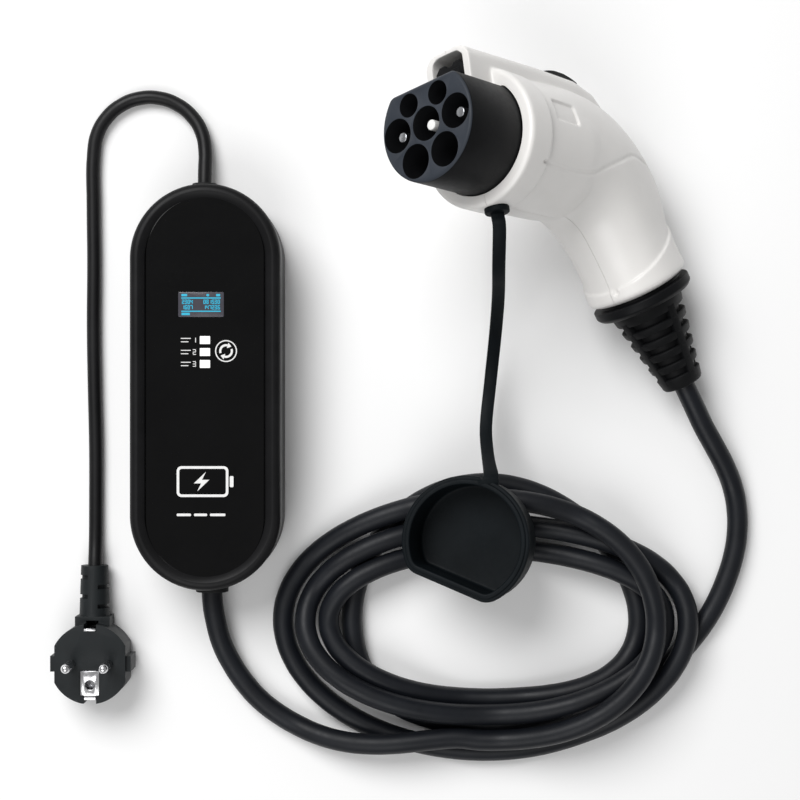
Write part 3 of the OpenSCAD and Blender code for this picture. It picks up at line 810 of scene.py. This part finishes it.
class CHARGER_OT_panel(Operator):
    """Glossy panel with its display, lamp windows and print"""

    bl_idname = "charger.panel"
    bl_label = "Panel"

    def execute(self, context):
        s = context.scene.charger_box
        r, margin = s.panel_half_width / MM, 6.5
        glass_w, glass_h, glass_room = 23, 12.6, 0.2
        lamp_w, lamp_h, lamp_room = 5.2, 4, 0.1
        panel = stadium("panel_plate", r, s.length / 2 / MM - r - margin, PANEL_LOW, PANEL_TOP)
        round_edges(panel, 0.5, 3, at_height(PANEL_TOP), profile=0.5)
        cut(panel, tile("tool", *DISPLAY, glass_w + glass_room, glass_h + glass_room, 42.2, ABOVE, 0.7))
        for y in reversed(LAMP_ROWS):
            cut(panel, tile("tool", 0, y, lamp_w + lamp_room, lamp_h + lamp_room, 42.4, ABOVE, 0.3))
        done(panel, "Glossy panel", "panel", nodes=["front_panel"], smooth=10)

        glass = tile("display_window", *DISPLAY, glass_w, glass_h, 42.1, DISPLAY_TOP, 0.6)
        soften(glass, 0.12)
        done(glass, "Display glass", "display", nodes=["display_module"])
        done(joined("display_figures", self.figures()), "Lit cyan", "display")

        rows = reversed(LAMP_ROWS)
        lamp = joined(
            "lamp_windows", [tile("lamp", 0, y, lamp_w, lamp_h, 42.2, PANEL_TOP, 0.25) for y in rows]
        )
        soften(lamp, 0.1)
        done(lamp, "Lamp window", "window", nodes=["indicator_windows"])

        marks = self.lamp_marks() + self.key_marks() + self.battery_marks()
        done(joined("panel_print", marks), "White print", "window")
        return {"FINISHED"}

    def figures(self):
        """Lines, small marks and rows of figures on the display."""
        bars = []
        for x, y, w, h, corner in (
            (-2, 44.75, 19.8, 0.6, 0.1),
            (-2, 38.1, 19.8, 0.6, 0.1),
            (-10.4, 46.2, 2.9, 1.2, 0.2),
            (1.4, 46.2, 1.4, 1.2, 0.5),
            (6.6, 46.2, 2.0, 1.2, 0.2),
            (-9.7, 36.75, 4.2, 1.2, 0.2),
        ):
            bars.append(tile("bar", x, y, w, h, *FIGURES, corner))
        pitch, left, right = 1.42, -11.4, -0.6
        for y, x, word in (
            (41.95, left, "2304"),
            (41.95, right, "081530"),
            (39.2, left, "1607"),
            (39.2, right, "147236"),
        ):
            for k, ch in enumerate(word):
                bars += digit(ch, x + k * pitch, y, 0.82, 1.8, *FIGURES, 0.4)
        return bars

    def lamp_marks(self):
        """A number and two bars beside each lamp."""
        marks = []
        for k, y in enumerate(LAMP_ROWS):
            marks += digit(str(k + 1), -5.9, y - 1.2, 1.2, 2.4, *PRINT, 0.36)
            marks.append(tile("bar", -9.6, y + 0.85, 5.0, 0.42, *PRINT, 0.15))
            marks.append(tile("bar", -10.2, y - 0.85, 3.8, 0.42, *PRINT, 0.15))
        return marks

    def key_marks(self):
        """A ring with two arrows that follow each other round."""
        x, y = KEY
        gaps = ((22, 74), (202, 254))
        tip = [(1.5, 0), (4.35, 0), (2.92, -2.0)]
        marks = [ring("rim", x, y, 5.5, 4.95, *PRINT), ring("arrows", x, y, 3.45, 2.4, *PRINT, gaps=gaps)]
        for _, a in gaps:
            c, q = math.cos(math.radians(a)), math.sin(math.radians(a))
            head = [(x + c * u - q * v, y + q * u + c * v) for u, v in tip]
            marks.append(flat_shape("head", head, *PRINT))
        return marks

    def battery_marks(self):
        """A battery with a bolt, and a row of dashes under it."""
        x, y = BATTERY
        outline = tile("battery", x, y, 26, 15.5, *PRINT, 2.4)
        cut(outline, tile("tool", x, y, 23.4, 12.9, 42, ABOVE, 1.3))
        bolt = [(1.7, 4.9), (-4.4, -0.9), (-0.7, -0.9), (-2.7, -4.9), (3.4, 0.9), (-0.3, 0.9)]
        marks = [outline, tile("pole", 13.4, y, 1.9, 5.6, *PRINT, 0.6)]
        marks.append(flat_shape("bolt", [(x + u, y + v) for u, v in bolt], *PRINT))
        dashes = ((-10.6, 7.2), (-2.2, 6.6), (6.4, 7.8))
        return marks + [tile("bar", u, -64.2, w, 1.3, *PRINT, 0.5) for u, w in dashes]


class CHARGER_OT_insides(Operator):
    """Boards and blocks inside the box and the gun"""

    bl_idname = "charger.insides"
    bl_label = "Insides"

    def execute(self, context):
        blocks = ("power_module", "leakage_sensor", "latch_switch", "contact_carrier", "gun_cable_clamp")
        for names, look, slot in (
            (("control_board", "main_board"), "Board", "board"),
            (blocks, "Dark block", "module"),
            (("relays",), "Relay shell", "relay"),
            (("terminal_block",), "Terminal shell", "terminal"),
            (("latch_pin", "latch_spring"), "Screw steel", "steel"),
        ):
            for n in names:
                from_cad(n, n + "_piece", 0.15, look, slot)
        return {"FINISHED"}


class CHARGER_OT_plug(Operator):
    """Angled two-pin earthed plug"""

    bl_idname = "charger.plug"
    bl_label = "Plug"

    def execute(self, context):
        plug_x, lead_z = -61, 8
        core = rod("core", 6.5, (0, -120, 0), (0, -93.5, 0))
        edit(core)
        bpy.ops.transform.resize(value=(1, 1, 0.68), center_override=(0, 0, 0))
        bpy.ops.transform.translate(value=(plug_x * MM, 0, lead_z * MM))
        leave()
        soften(core, 0.6, 2)
        shell = joined("plug_shell", [core, soft_copy("plug_body", "plug_shell", 0.55, 3)])
        done(shell, "Plug rubber", "plug", nodes=["plug_body"])
        from_cad("plug_pins", "plug_pin_pair", 0.25, "Nickel plate", "nickel")
        from_cad("earth_clip", "plug_earth_clip", 0.2, "Nickel plate", "nickel")
        return {"FINISHED"}


# The gun: sections set along its bent axis.


def on_arc(t, half_width, outer, inner):
    """A section of the bend, t degrees round it."""
    w = math.radians(t)
    y, z = BEND_RADIUS * (math.cos(w) - 1), BEND_START - BEND_RADIUS * math.sin(w)
    return (y, z, w, half_width, outer, inner)


def on_grip(s, half_width, outer, inner):
    """A section of the handle, s along it."""
    q = grip_spot(s)
    return (q.y, q.z, BEND, half_width, outer, inner)


# Each section: y, z and turn of its middle, half width, and reach to the outer and the inner side.
SECTIONS = [
    (0, -3, 0, 32, 32, 32),
    (0, -12, 0, 32, 32.2, 32),
    (0, -22, 0, 32, 32.5, 32),
    (0, -38, 0, 31.5, 34, 31),
    on_arc(0, 31, 35.5, 29.5),
    on_arc(12, 30.2, 36.5, 28.5),
    on_arc(24, 29.4, 37.5, 27.5),
    on_arc(36, 28.4, 38, 26.5),
    on_arc(48, 27.2, 38.3, 25.6),
    on_arc(60, 26, 37.7, 24.8),
    on_grip(38, 24.8, 33.6, 24.2),
    on_grip(46, 24.2, 28.3, 23.8),
    on_grip(55, 24.2, 26, 24),
    on_grip(63, 24.8, 25.4, 24.8),
    on_grip(69.9, 25.6, 25.6, 25.6),
]
SQUARENESS = 2.15


def section_spot(section, angle, grow=0.0):
    """A point of a section: angle 0 is the right side, 90 degrees the outer side."""
    y, z, turn, half_width, outer, inner = section
    c, s = math.cos(angle), math.sin(angle)
    x = math.copysign(abs(c) ** (2 / SQUARENESS), c) * (half_width + grow)
    v = math.copysign(abs(s) ** (2 / SQUARENESS), s) * ((outer if s > 0 else inner) + grow)
    return (x, y + v * math.cos(turn), z - v * math.sin(turn))


def section_ring(section, count=48, grow=0.0):
    """Points all round a section."""
    return [section_spot(section, 2 * math.pi * k / count, grow) for k in range(count)]


def circle(radius, z, count):
    """Points of a level circle."""
    turns = [2 * math.pi * k / count for k in range(count)]
    return [(radius * math.cos(a), radius * math.sin(a), z) for a in turns]


def loft(name, rings, smooth=0):
    """Circles set along a line, shaped to their sections, bridged and closed; sizes in mm."""
    count = len(rings[0])
    bpy.ops.mesh.primitive_circle_add(vertices=count, radius=MM)
    obj = newest(name)
    edit(obj)
    for _ in rings[1:]:
        bpy.ops.mesh.primitive_circle_add(vertices=count, radius=MM)
    move_points(obj, lambda k, q: Vector(rings[k // count][k % count]) * MM)
    for k in range(len(rings) - 1):
        low, high = k * count, (k + 2) * count
        pick(obj, "EDGE", lambda c, e: all(low <= v.index < high for v in e.verts))
        bpy.ops.mesh.bridge_edge_loops()
    for k in (0, len(rings) - 1):
        low, high = k * count, (k + 1) * count
        pick(obj, "EDGE", lambda c, e: all(low <= v.index < high for v in e.verts))
        bpy.ops.mesh.edge_face_add()
    bpy.ops.mesh.select_all(action="SELECT")
    bpy.ops.mesh.normals_make_consistent(inside=False)
    leave()
    if smooth:
        modify(obj, "SUBSURF", levels=smooth, render_levels=smooth)
    return obj


def block(name, x, y, z):
    """A block between two values of x, of y and of z; sizes in mm."""
    bpy.ops.mesh.primitive_cube_add(size=1)
    obj = newest(name)
    edit(obj)
    bpy.ops.transform.resize(value=[(b - a) * MM for a, b in (x, y, z)])
    bpy.ops.transform.translate(value=[(a + b) / 2 * MM for a, b in (x, y, z)])
    leave()
    return obj


def rod(name, radius, start, end, count=48):
    """A round rod between two points in mm."""
    a, b = Vector(start), Vector(end)
    bpy.ops.mesh.primitive_cylinder_add(vertices=count, radius=radius * MM, depth=(b - a).length * MM)
    obj = newest(name)
    obj.rotation_euler = (b - a).to_track_quat("Z", "Y").to_euler()
    obj.location = (a + b) / 2 * MM
    only(obj)
    bpy.ops.object.transform_apply(location=True, rotation=True, scale=True)
    return obj


def keep_side(obj, point, normal):
    """Cuts a piece along a plane and keeps the side that the normal points to; in mm."""
    edit(obj)
    bpy.ops.mesh.bisect(plane_co=Vector(point) * MM, plane_no=normal, use_fill=True, clear_inner=True)
    leave()


def flat_round(name, radius, flat, z0, z1, up=1, corner=4.5):
    """A disc with a flat on its upper or lower side and rounded corners, from z0 to z1; sizes in mm."""
    cy = flat - corner
    cx = math.sqrt((radius - corner) ** 2 - cy**2)
    start = math.atan2(cy, cx)
    arcs = (
        (0, 0, radius, math.pi - start, 2 * math.pi + start, 96),
        (cx, cy, corner, start, math.pi / 2, 10),
        (-cx, cy, corner, math.pi / 2, math.pi - start, 10),
    )
    spots = []
    for x, y, r, a, b, count in arcs:
        turns = [a + (b - a) * k / count for k in range(count)]
        if r == corner and x > 0:
            turns.append(b)
        spots += [(x + r * math.cos(w), up * (y + r * math.sin(w))) for w in turns]
    return flat_shape(name, spots, z0, z1)


def runs_along_x(e):
    """Whether an edge runs across the gun."""
    return abs(e.verts[0].co.x - e.verts[1].co.x) > 0.1 * MM


# The pieces of the gun, and the cap.


class CHARGER_OT_shells(Operator):
    """White gun shells: body, collar, hood, latch channel and grooves, then parted along the middle"""

    bl_idname = "charger.shells"
    bl_label = "Gun shells"

    def execute(self, context):
        s = context.scene.charger_gun
        body = loft("gun_body", [section_ring(q) for q in SECTIONS], 2)
        for made in (self.collar(s.collar_radius / MM), self.barrel(), self.hood(), self.cuff()):
            cut(body, made, "UNION")
        for tool in (*self.openings(), *self.grooves(), *self.holes()):
            cut(body, tool)
        modify(body, "REMESH", mode="VOXEL", voxel_size=s.shell_mesh, adaptivity=0.0)
        modify(body, "SMOOTH", factor=0.5, iterations=5)
        room = 0.5
        nose_seat = flat_round("tool", s.nose_radius / MM + room, s.nose_flat / MM + room, -3.2, 3)
        cut(body, nose_seat)

        only(body)
        bpy.ops.object.duplicate()
        other = newest("gun_left_half")
        body.name = "gun_right_half"
        seam = 0.1
        for half, side, n in ((body, 1, "gun_right_shell"), (other, -1, "gun_left_shell")):
            keep_side(half, (side * seam, 0, 0), (side, 0, 0))
            settle_in(half, GUN)
            done(half, "Warm white plastic", "shell", nodes=[n], smooth=50)
        from_cad("shell_screws", "shell_screw_set", 0.12, "Screw steel", "steel")
        return {"FINISHED"}

    def collar(self, radius):
        """Round collar behind the nose."""
        deep = 16
        collar = rod("collar", radius, (0, 0, -deep), (0, 0, 0), 96)
        round_edges(collar, 2.2, 4, lambda c, e: all(v.co.z > -0.01 * MM for v in e.verts))
        round_edges(collar, 1.5, 3, lambda c, e: all(v.co.z < (0.1 - deep) * MM for v in e.verts))
        return collar

    def barrel(self):
        """Round barrel that runs back from the collar."""
        profile = (
            (-4, 31.9), (-20, 31.9), (-36, 31.9), (-50, 31.6), (-56.5, 30.8), (-60.2, 28.8), (-61.8, 25.5)
        )
        return loft("barrel", [circle(r, z, 96) for z, r in profile])

    def hood(self):
        """Hood over the latch, with its two upper edges rounded."""
        half_width = 13.5
        side = [(20, 15), (41.2, 15), (42.4, -40), (42, -70), (38, -84), (27, -96), (5, -96), (5, -2)]
        hood = sheet("hood", [(-half_width, y, z) for y, z in side + [(20, -2)]])
        thicken((2 * half_width, 0, 0))

        def upper(c, e):
            return not runs_along_x(e) and c.y > 32 * MM and c.z < 14.5 * MM

        round_edges(hood, 7.4, 7, upper, clamp_overlap=False)
        return hood

    def cuff(self):
        """Raised cuff round the lower handle, cut off at a slant."""
        sections = [on_grip(36, 24.8, 34.5, 24.2)] + SECTIONS[-4:]
        cuff = loft("cuff", [section_ring(q, grow=1.1) for q in sections], 2)
        keep_side(cuff, (0, -45.5, -108.25), (0, -0.716, -0.76))
        return cuff

    def openings(self):
        """Latch channel and its mouth, the button's slot and the shallow label field."""
        channel = block("tool", (-9.5, 9.5), (24, 38.8), (-40, 17))
        round_edges(channel, 4.5, 5, lambda c, e: c.y > 38 * MM and abs(c.x) > 9 * MM)
        mouth = block("tool", (-9.5, 9.5), (15, 30), (0.6, 17))
        slot = block("tool", (-7.4, 7.4), (30, 52), (-78.4, -49.6))
        round_edges(slot, 2.5, 5, lambda c, e: abs(c.x) > 7 * MM and abs(c.z + 64 * MM) > 14 * MM)
        field = block("tool", (24, 40), (3.4, 14.6), (-41, -23.4))
        round_edges(field, 1.6, 5, lambda c, e: runs_along_x(e))
        cut(field, loft("skin", [section_ring(q, grow=-1.2) for q in SECTIONS[:6]], 2))
        return channel, mouth, slot, field

    def grooves(self):
        """One groove on each side, from the collar down and round to the handle's outer side."""
        angles = (-33, -34, -35, -33, -24, -8, 14, 34)
        spots = [section_spot(q, math.radians(a), 0.25) for q, a in zip(SECTIONS[1:], angles)]
        for mirror in (1, -1):
            tube = cord_curve("tool", spline([(mirror * x, y, z) for x, y, z in spots], 5), 2.3)
            tube.data.bevel_resolution = 2
            only(tube)
            bpy.ops.object.convert(target="MESH")
            yield bpy.context.active_object

    def holes(self):
        """A small round mark low on the handle, and the four screw holes in the left side."""
        beside = Vector((3, 0, 0))
        yield rod("tool", 1.7, grip_spot(61, -24) + beside, grip_spot(61, -30) + beside, 24)
        for q in (Vector((0, -18, -45)), Vector((0, 4, -86)), grip_spot(38, -13), grip_spot(50, 14)):
            yield rod("tool", 3.3, (-50, q.y, q.z), (-12, q.y, q.z), 32)


class CHARGER_OT_nose(Operator):
    """Dark nose with seven sockets and their contacts"""

    bl_idname = "charger.nose"
    bl_label = "Nose"

    def execute(self, context):
        s = context.scene.charger_gun
        front, pitch = s.nose_length / MM, s.socket_pitch / MM
        nose = flat_round("nose_plug", s.nose_radius / MM, s.nose_flat / MM, -3, front)
        round_edges(nose, 1.5, 4, at_height(front))
        large, small, floor = 8.2, 5.7, 6
        rows = ((0, (-1, 0, 1), large), (-0.866, (-0.5, 0.5), large), (0.666, (-0.5, 0.5), small))
        for up, across, radius in rows:
            for side in across:
                x, y = side * pitch, up * pitch
                cut(nose, rod("tool", radius, (x, y, floor), (x, y, front + 5), 64))
        soften(nose, 0.4, 2, 50)
        settle_in(nose, GUN)
        done(nose, "Black plastic", "nose", nodes=["nose"])
        # The front face gets a lighter slate copy of the black plastic: painted light where the face turns
        # towards the lamps.
        nose.data.materials.append(finish("Black plastic with painted light"))
        out = (GUN.to_3x3() @ Vector((0, 0, 1))).normalized()
        face = (GUN @ Vector((0, 0, (front - 2) * MM))).dot(out)
        for f in nose.data.polygons:
            if f.normal.dot(out) > 0.25 and f.center.dot(out) > face:
                f.material_index = 1
        from_cad("power_contacts", "power_contact_tips", 0.5, "Nickel plate", "brass", segments=3)
        low, high = front - 9, front - 3.4
        for label, places, look, slot in (
            ("live_tips", (-pitch, pitch), "Screw steel", "brass"),
            ("earth_tip", (0,), "White print", "window"),
        ):
            tips = joined(label, [rod("tip", 2.5, (x, 0, low), (x, 0, high), 32) for x in places])
            soften(tips, 0.5, 3)
            settle_in(tips, GUN)
            done(tips, look, slot)
        from_cad("signal_contacts", "signal_contact_tips", 0.3, "Plated contact", "brass")
        return {"FINISHED"}


class CHARGER_OT_latch(Operator):
    """Latch hook and thumb button, which move"""

    bl_idname = "charger.latch"
    bl_label = "Latch and button"

    def execute(self, context):
        half = [(8.6, 28), (8.6, 31.8), (6.2, 34.6), (2.6, 34.6), (1.6, 33.2)]
        head = flat_shape("hook_head", half + [(-x, y) for x, y in reversed(half)], 5, 13.7)
        soften(head, 0.4, 2)
        settle_in(head, GUN)
        hook = joined("latch_hook", [head, soft_copy("latch_lever", "latch_hook", 0.35, 2)])
        done(hook, "Black plastic", "black", "latch", ["latch_lever"])
        from_cad("release_button", "thumb_button", 0.6, "Black plastic", "black", "button", 3)
        return {"FINISHED"}


class CHARGER_OT_handle_end(Operator):
    """Ring at the handle's end and the slotted boot that guards the cable"""

    bl_idname = "charger.handle_end"
    bl_label = "Handle end"

    def execute(self, context):
        from_cad("handle_end_ring", "handle_ring", 0.6, "Black plastic", "black", segments=3)
        boot = loft("cable_boot", [circle(r, s, 64) for s, r in self.profile()])
        boot = joined("cable_boot", [self.web(20 + 90 * k) for k in range(4)] + [boot])
        settle_in(boot, GRIP)
        done(boot, "Boot rubber", "rubber", nodes=["gun_strain_relief"])
        return {"FINISHED"}

    def radius_at(self, s):
        """The boot's radius, s along the handle's axis."""
        start, length, wide, taper = 76, 47, 19.5, 9.0
        return wide - taper * (s - start) / length

    def profile(self):
        """Places and radii from the wide end over five grooves to the thin end."""
        wide = self.radius_at
        first, pitch, width = 82.2, 7.6, 3.6
        spots = [(74, 17.5), (75.2, 18.6), (76, wide(76))]
        for k in range(5):
            a = first + pitch * k
            b = a + width
            deep = 3.0 - 0.2 * k
            spots += [(a - 0.5, wide(a)), (a, wide(a) - 0.5), (a + 0.1, wide(a) - deep)]
            spots += [(b - 0.1, wide(b) - deep), (b, wide(b) - 0.5), (b + 0.5, wide(b))]
        spots += [(121.6, wide(121.6)), (122.7, wide(122.7) - 0.5), (123, wide(123) - 1.4), (122.6, 5.6)]
        return spots

    def web(self, turn):
        """A bar along the boot that joins its rings, turned about the axis."""
        start, end, half_width, deep = 80, 119.5, 2.3, 4.5

        def place(k, q):
            s = start if q.z < 0 else end
            r = self.radius_at(s) + (0.02 if q.x > 0 else -deep)
            return Vector((r, math.copysign(half_width, q.y), s)) * MM

        web = block("web", (-1, 1), (-1, 1), (-1, 1))
        edit(web)
        move_points(web, place)
        leave()
        soften(web, 0.4, 2)
        settle_in(web, Matrix.Rotation(math.radians(turn), 4, "Z"))
        return web


# Where the strap sits on the collar, behind its front face in mm.
STRAP_Z = -8


class CHARGER_OT_cap(Operator):
    """Rubber dust cap and the strap that ties it to the gun's collar"""

    bl_idname = "charger.cap"
    bl_label = "Cap and strap"

    def execute(self, context):
        s = context.scene.charger_cap
        r, wall, deep = s.inner_radius / MM, s.wall / MM, s.depth / MM
        cup = self.cup(r, s.flat / MM, wall, deep)

        def spot(place, y, z):
            return tuple(place @ (Vector((0, y, z)) * MM) / MM)

        route = [spot(GUN, y, STRAP_Z) for y in (-33.5, -38, -44)]
        route += [(145.2, 58, 90), (146.4, 44, 62), (146.2, 26, 36)]
        route += [(144.4, 2, 20), (142, -20, 25), (142.3, -34, 38)]
        route += [spot(CAP, r + wall + 3.5, deep - 3.2), spot(CAP, r + wall - 0.6, deep - 3.4)]
        line = spline(route, 4)
        strap = loft("cap_strap", self.strap_rings(line, s.strap_width / 2 / MM))
        foot = rod("strap_foot", 6.0, (0, -33.2, STRAP_Z), (0, -36.4, STRAP_Z), 48)
        soften(foot, 0.7, 3)
        settle_in(foot, GUN)
        done(foot, "Cap rubber", "rubber")
        done(strap, "Cap rubber", "rubber", nodes=["tether_strap"], smooth=40)
        start, path = Vector(route[0]) * MM, [tuple(p * MM) for p in line]
        length, both = length_of(line), [cup, foot]
        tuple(start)
        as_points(path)
        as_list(both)
        return {"FINISHED"}

    def cup(self, r, flat, wall, deep):
        """The cap: a flat-sided cup with a lip round its mouth."""
        floor, corner, lip_out = 3, 8, 1.7
        cup = flat_round("dust_cup", r + wall, flat + wall, 0, deep, -1, corner)
        round_edges(cup, 2.2, 5, at_height(0))
        out = wall + lip_out
        lip = flat_round("lip", r + out, flat + out, deep - 5.2, deep - 0.9, -1, corner + lip_out)
        soften(lip, 0.9, 3)
        cut(cup, lip, "UNION")
        cut(cup, flat_round("tool", r, flat, floor, deep + 4, -1, corner - wall))

        def at_floor(c, e):
            level = all(abs(v.co.z - floor * MM) < 0.01 * MM for v in e.verts)
            return level and len(e.link_faces) == 2 and e.calc_face_angle(0) > 0.5

        round_edges(cup, 0.8, 3, lambda c, e: all(v.co.z > (deep - 0.01) * MM for v in e.verts))
        round_edges(cup, 1.6, 4, at_floor)
        settle_in(cup, CAP)
        return done(cup, "Cap rubber", "rubber", nodes=["dust_cap"], smooth=40)

    def strap_rings(self, line, half_width):
        """Flat sections along the strap, which widens towards the cap."""
        rings = []
        for k, p in enumerate(line):
            d = line[min(k + 1, len(line) - 1)] - line[max(k - 1, 0)]
            d /= np.linalg.norm(d)
            across = np.array([1.0, 0, 0]) - d[0] * d
            across /= np.linalg.norm(across)
            up = np.cross(across, d)
            flare = max(0.0, (k - len(line) + 9) / 8)
            w, h = half_width + 2.6 * flare**2, 1.25 + 0.9 * flare
            side = [(w - 0.7, h), (w - 0.2, h - 0.25), (w, h - 0.8)]
            side += [(a, -b) for a, b in reversed(side)]
            side += [(-a, b) for a, b in reversed(side)]
            rings.append([tuple(p + across * a + up * b) for a, b in side])
        return rings


# Settings, sidebar and registration.


class ChargerStage(PropertyGroup):
    """Camera and light"""

    camera: FloatVectorProperty(
        name="Camera",
        description="Where the camera is",
        default=(0.098, -0.0065, 1.0),
        subtype="TRANSLATION",
        unit="LENGTH",
    )
    lens: FloatProperty(name="Lens", description="Focal length in millimetres", default=85.7)
    lamp_size: FloatProperty(name="Lamps", description="Width of both lights", default=1.3, unit="LENGTH")
    key_power: FloatProperty(
        name="Key light", description="Power of the stronger soft light", default=33.0, unit="POWER"
    )
    fill_power: FloatProperty(
        name="Fill light", description="Power of the weaker soft light", default=11.0, unit="POWER"
    )
    room_light: FloatProperty(
        name="Room light", description="Strength of the even light all round", default=0.3
    )


class ChargerCords(PropertyGroup):
    """Sizes of the cords"""

    lead_diameter: FloatProperty(
        name="Lead", description="Diameter of the mains lead", default=0.0072, unit="LENGTH"
    )
    cable_diameter: FloatProperty(
        name="Cable", description="Diameter of the charge cable", default=0.0108, unit="LENGTH"
    )


class ChargerBox(PropertyGroup):
    """Sizes of the control box"""

    length: FloatProperty(
        name="Length", description="Overall length of the box", default=0.205, unit="LENGTH"
    )
    width: FloatProperty(name="Width", description="Overall width of the box", default=0.076, unit="LENGTH")
    depth: FloatProperty(name="Depth", description="Overall depth of the box", default=0.045, unit="LENGTH")
    split: FloatProperty(
        name="Split", description="Height of the line between the halves", default=0.024, unit="LENGTH"
    )
    edge_round: FloatProperty(
        name="Edge", description="Radius of the rounded front edge", default=0.0038, unit="LENGTH"
    )
    panel_half_width: FloatProperty(
        name="Panel", description="Half width of the glossy panel", default=0.0298, unit="LENGTH"
    )


class ChargerGun(PropertyGroup):
    """Sizes of the gun"""

    shell_mesh: FloatProperty(
        name="Shell mesh", description="Finest detail in the shells", default=0.0006, unit="LENGTH"
    )
    collar_radius: FloatProperty(
        name="Collar", description="Radius of the collar behind the nose", default=0.034, unit="LENGTH"
    )
    nose_radius: FloatProperty(
        name="Nose radius", description="Radius of the round nose", default=0.0275, unit="LENGTH"
    )
    nose_flat: FloatProperty(
        name="Nose flat", description="Height of the flat above the axis", default=0.0195, unit="LENGTH"
    )
    nose_length: FloatProperty(
        name="Nose length", description="Length in front of the collar", default=0.036, unit="LENGTH"
    )
    socket_pitch: FloatProperty(
        name="Sockets", description="Spacing of the sockets in the nose", default=0.018, unit="LENGTH"
    )


class ChargerCap(PropertyGroup):
    """Sizes of the dust cap and its strap"""

    inner_radius: FloatProperty(
        name="Inner radius", description="Inner radius of the cap", default=0.0284, unit="LENGTH"
    )
    flat: FloatProperty(
        name="Flat", description="Inner height of the flat side", default=0.0204, unit="LENGTH"
    )
    wall: FloatProperty(name="Wall", description="Wall of the cap", default=0.0026, unit="LENGTH")
    depth: FloatProperty(name="Depth", description="Depth of the cap", default=0.026, unit="LENGTH")
    strap_width: FloatProperty(
        name="Strap", description="Width of the strap", default=0.0064, unit="LENGTH"
    )


class CHARGER_PT_sidebar(Panel):
    """Sizes and steps of the charger"""

    bl_idname = "CHARGER_PT_sidebar"
    bl_label = "Charger"
    bl_space_type = "VIEW_3D"
    bl_region_type = "UI"
    bl_category = "Charger"

    def draw(self, context):
        layout = self.layout
        for group_name in SETTINGS:
            box = layout.box()
            settings = getattr(context.scene, group_name)
            for key in settings.__annotations__:
                box.prop(settings, key)
        for step in STEPS:
            layout.operator(step.bl_idname)


SETTINGS = {
    "charger_stage": ChargerStage,
    "charger_cords": ChargerCords,
    "charger_box": ChargerBox,
    "charger_gun": ChargerGun,
    "charger_cap": ChargerCap,
}
STEPS = [
    CHARGER_OT_stage,
    CHARGER_OT_case,
    CHARGER_OT_panel,
    CHARGER_OT_insides,
    CHARGER_OT_plug,
    CHARGER_OT_lead,
    CHARGER_OT_shells,
    CHARGER_OT_nose,
    CHARGER_OT_latch,
    CHARGER_OT_handle_end,
    CHARGER_OT_cable,
    CHARGER_OT_cap,
]


def register():
    for name, kind in SETTINGS.items():
        bpy.utils.register_class(kind)
        setattr(bpy.types.Scene, name, PointerProperty(type=kind))
    for step in STEPS:
        bpy.utils.register_class(step)
    bpy.utils.register_class(CHARGER_PT_sidebar)


def unregister():
    bpy.utils.unregister_class(CHARGER_PT_sidebar)
    for step in reversed(STEPS):
        bpy.utils.unregister_class(step)
    for name, kind in reversed(SETTINGS.items()):
        delattr(bpy.types.Scene, name)
        bpy.utils.unregister_class(kind)


def main():
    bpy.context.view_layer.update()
    register()
    for step in STEPS:
        area, name = step.bl_idname.split(".")
        getattr(getattr(bpy.ops, area), name)()


if __name__ == "__main__":
    main()
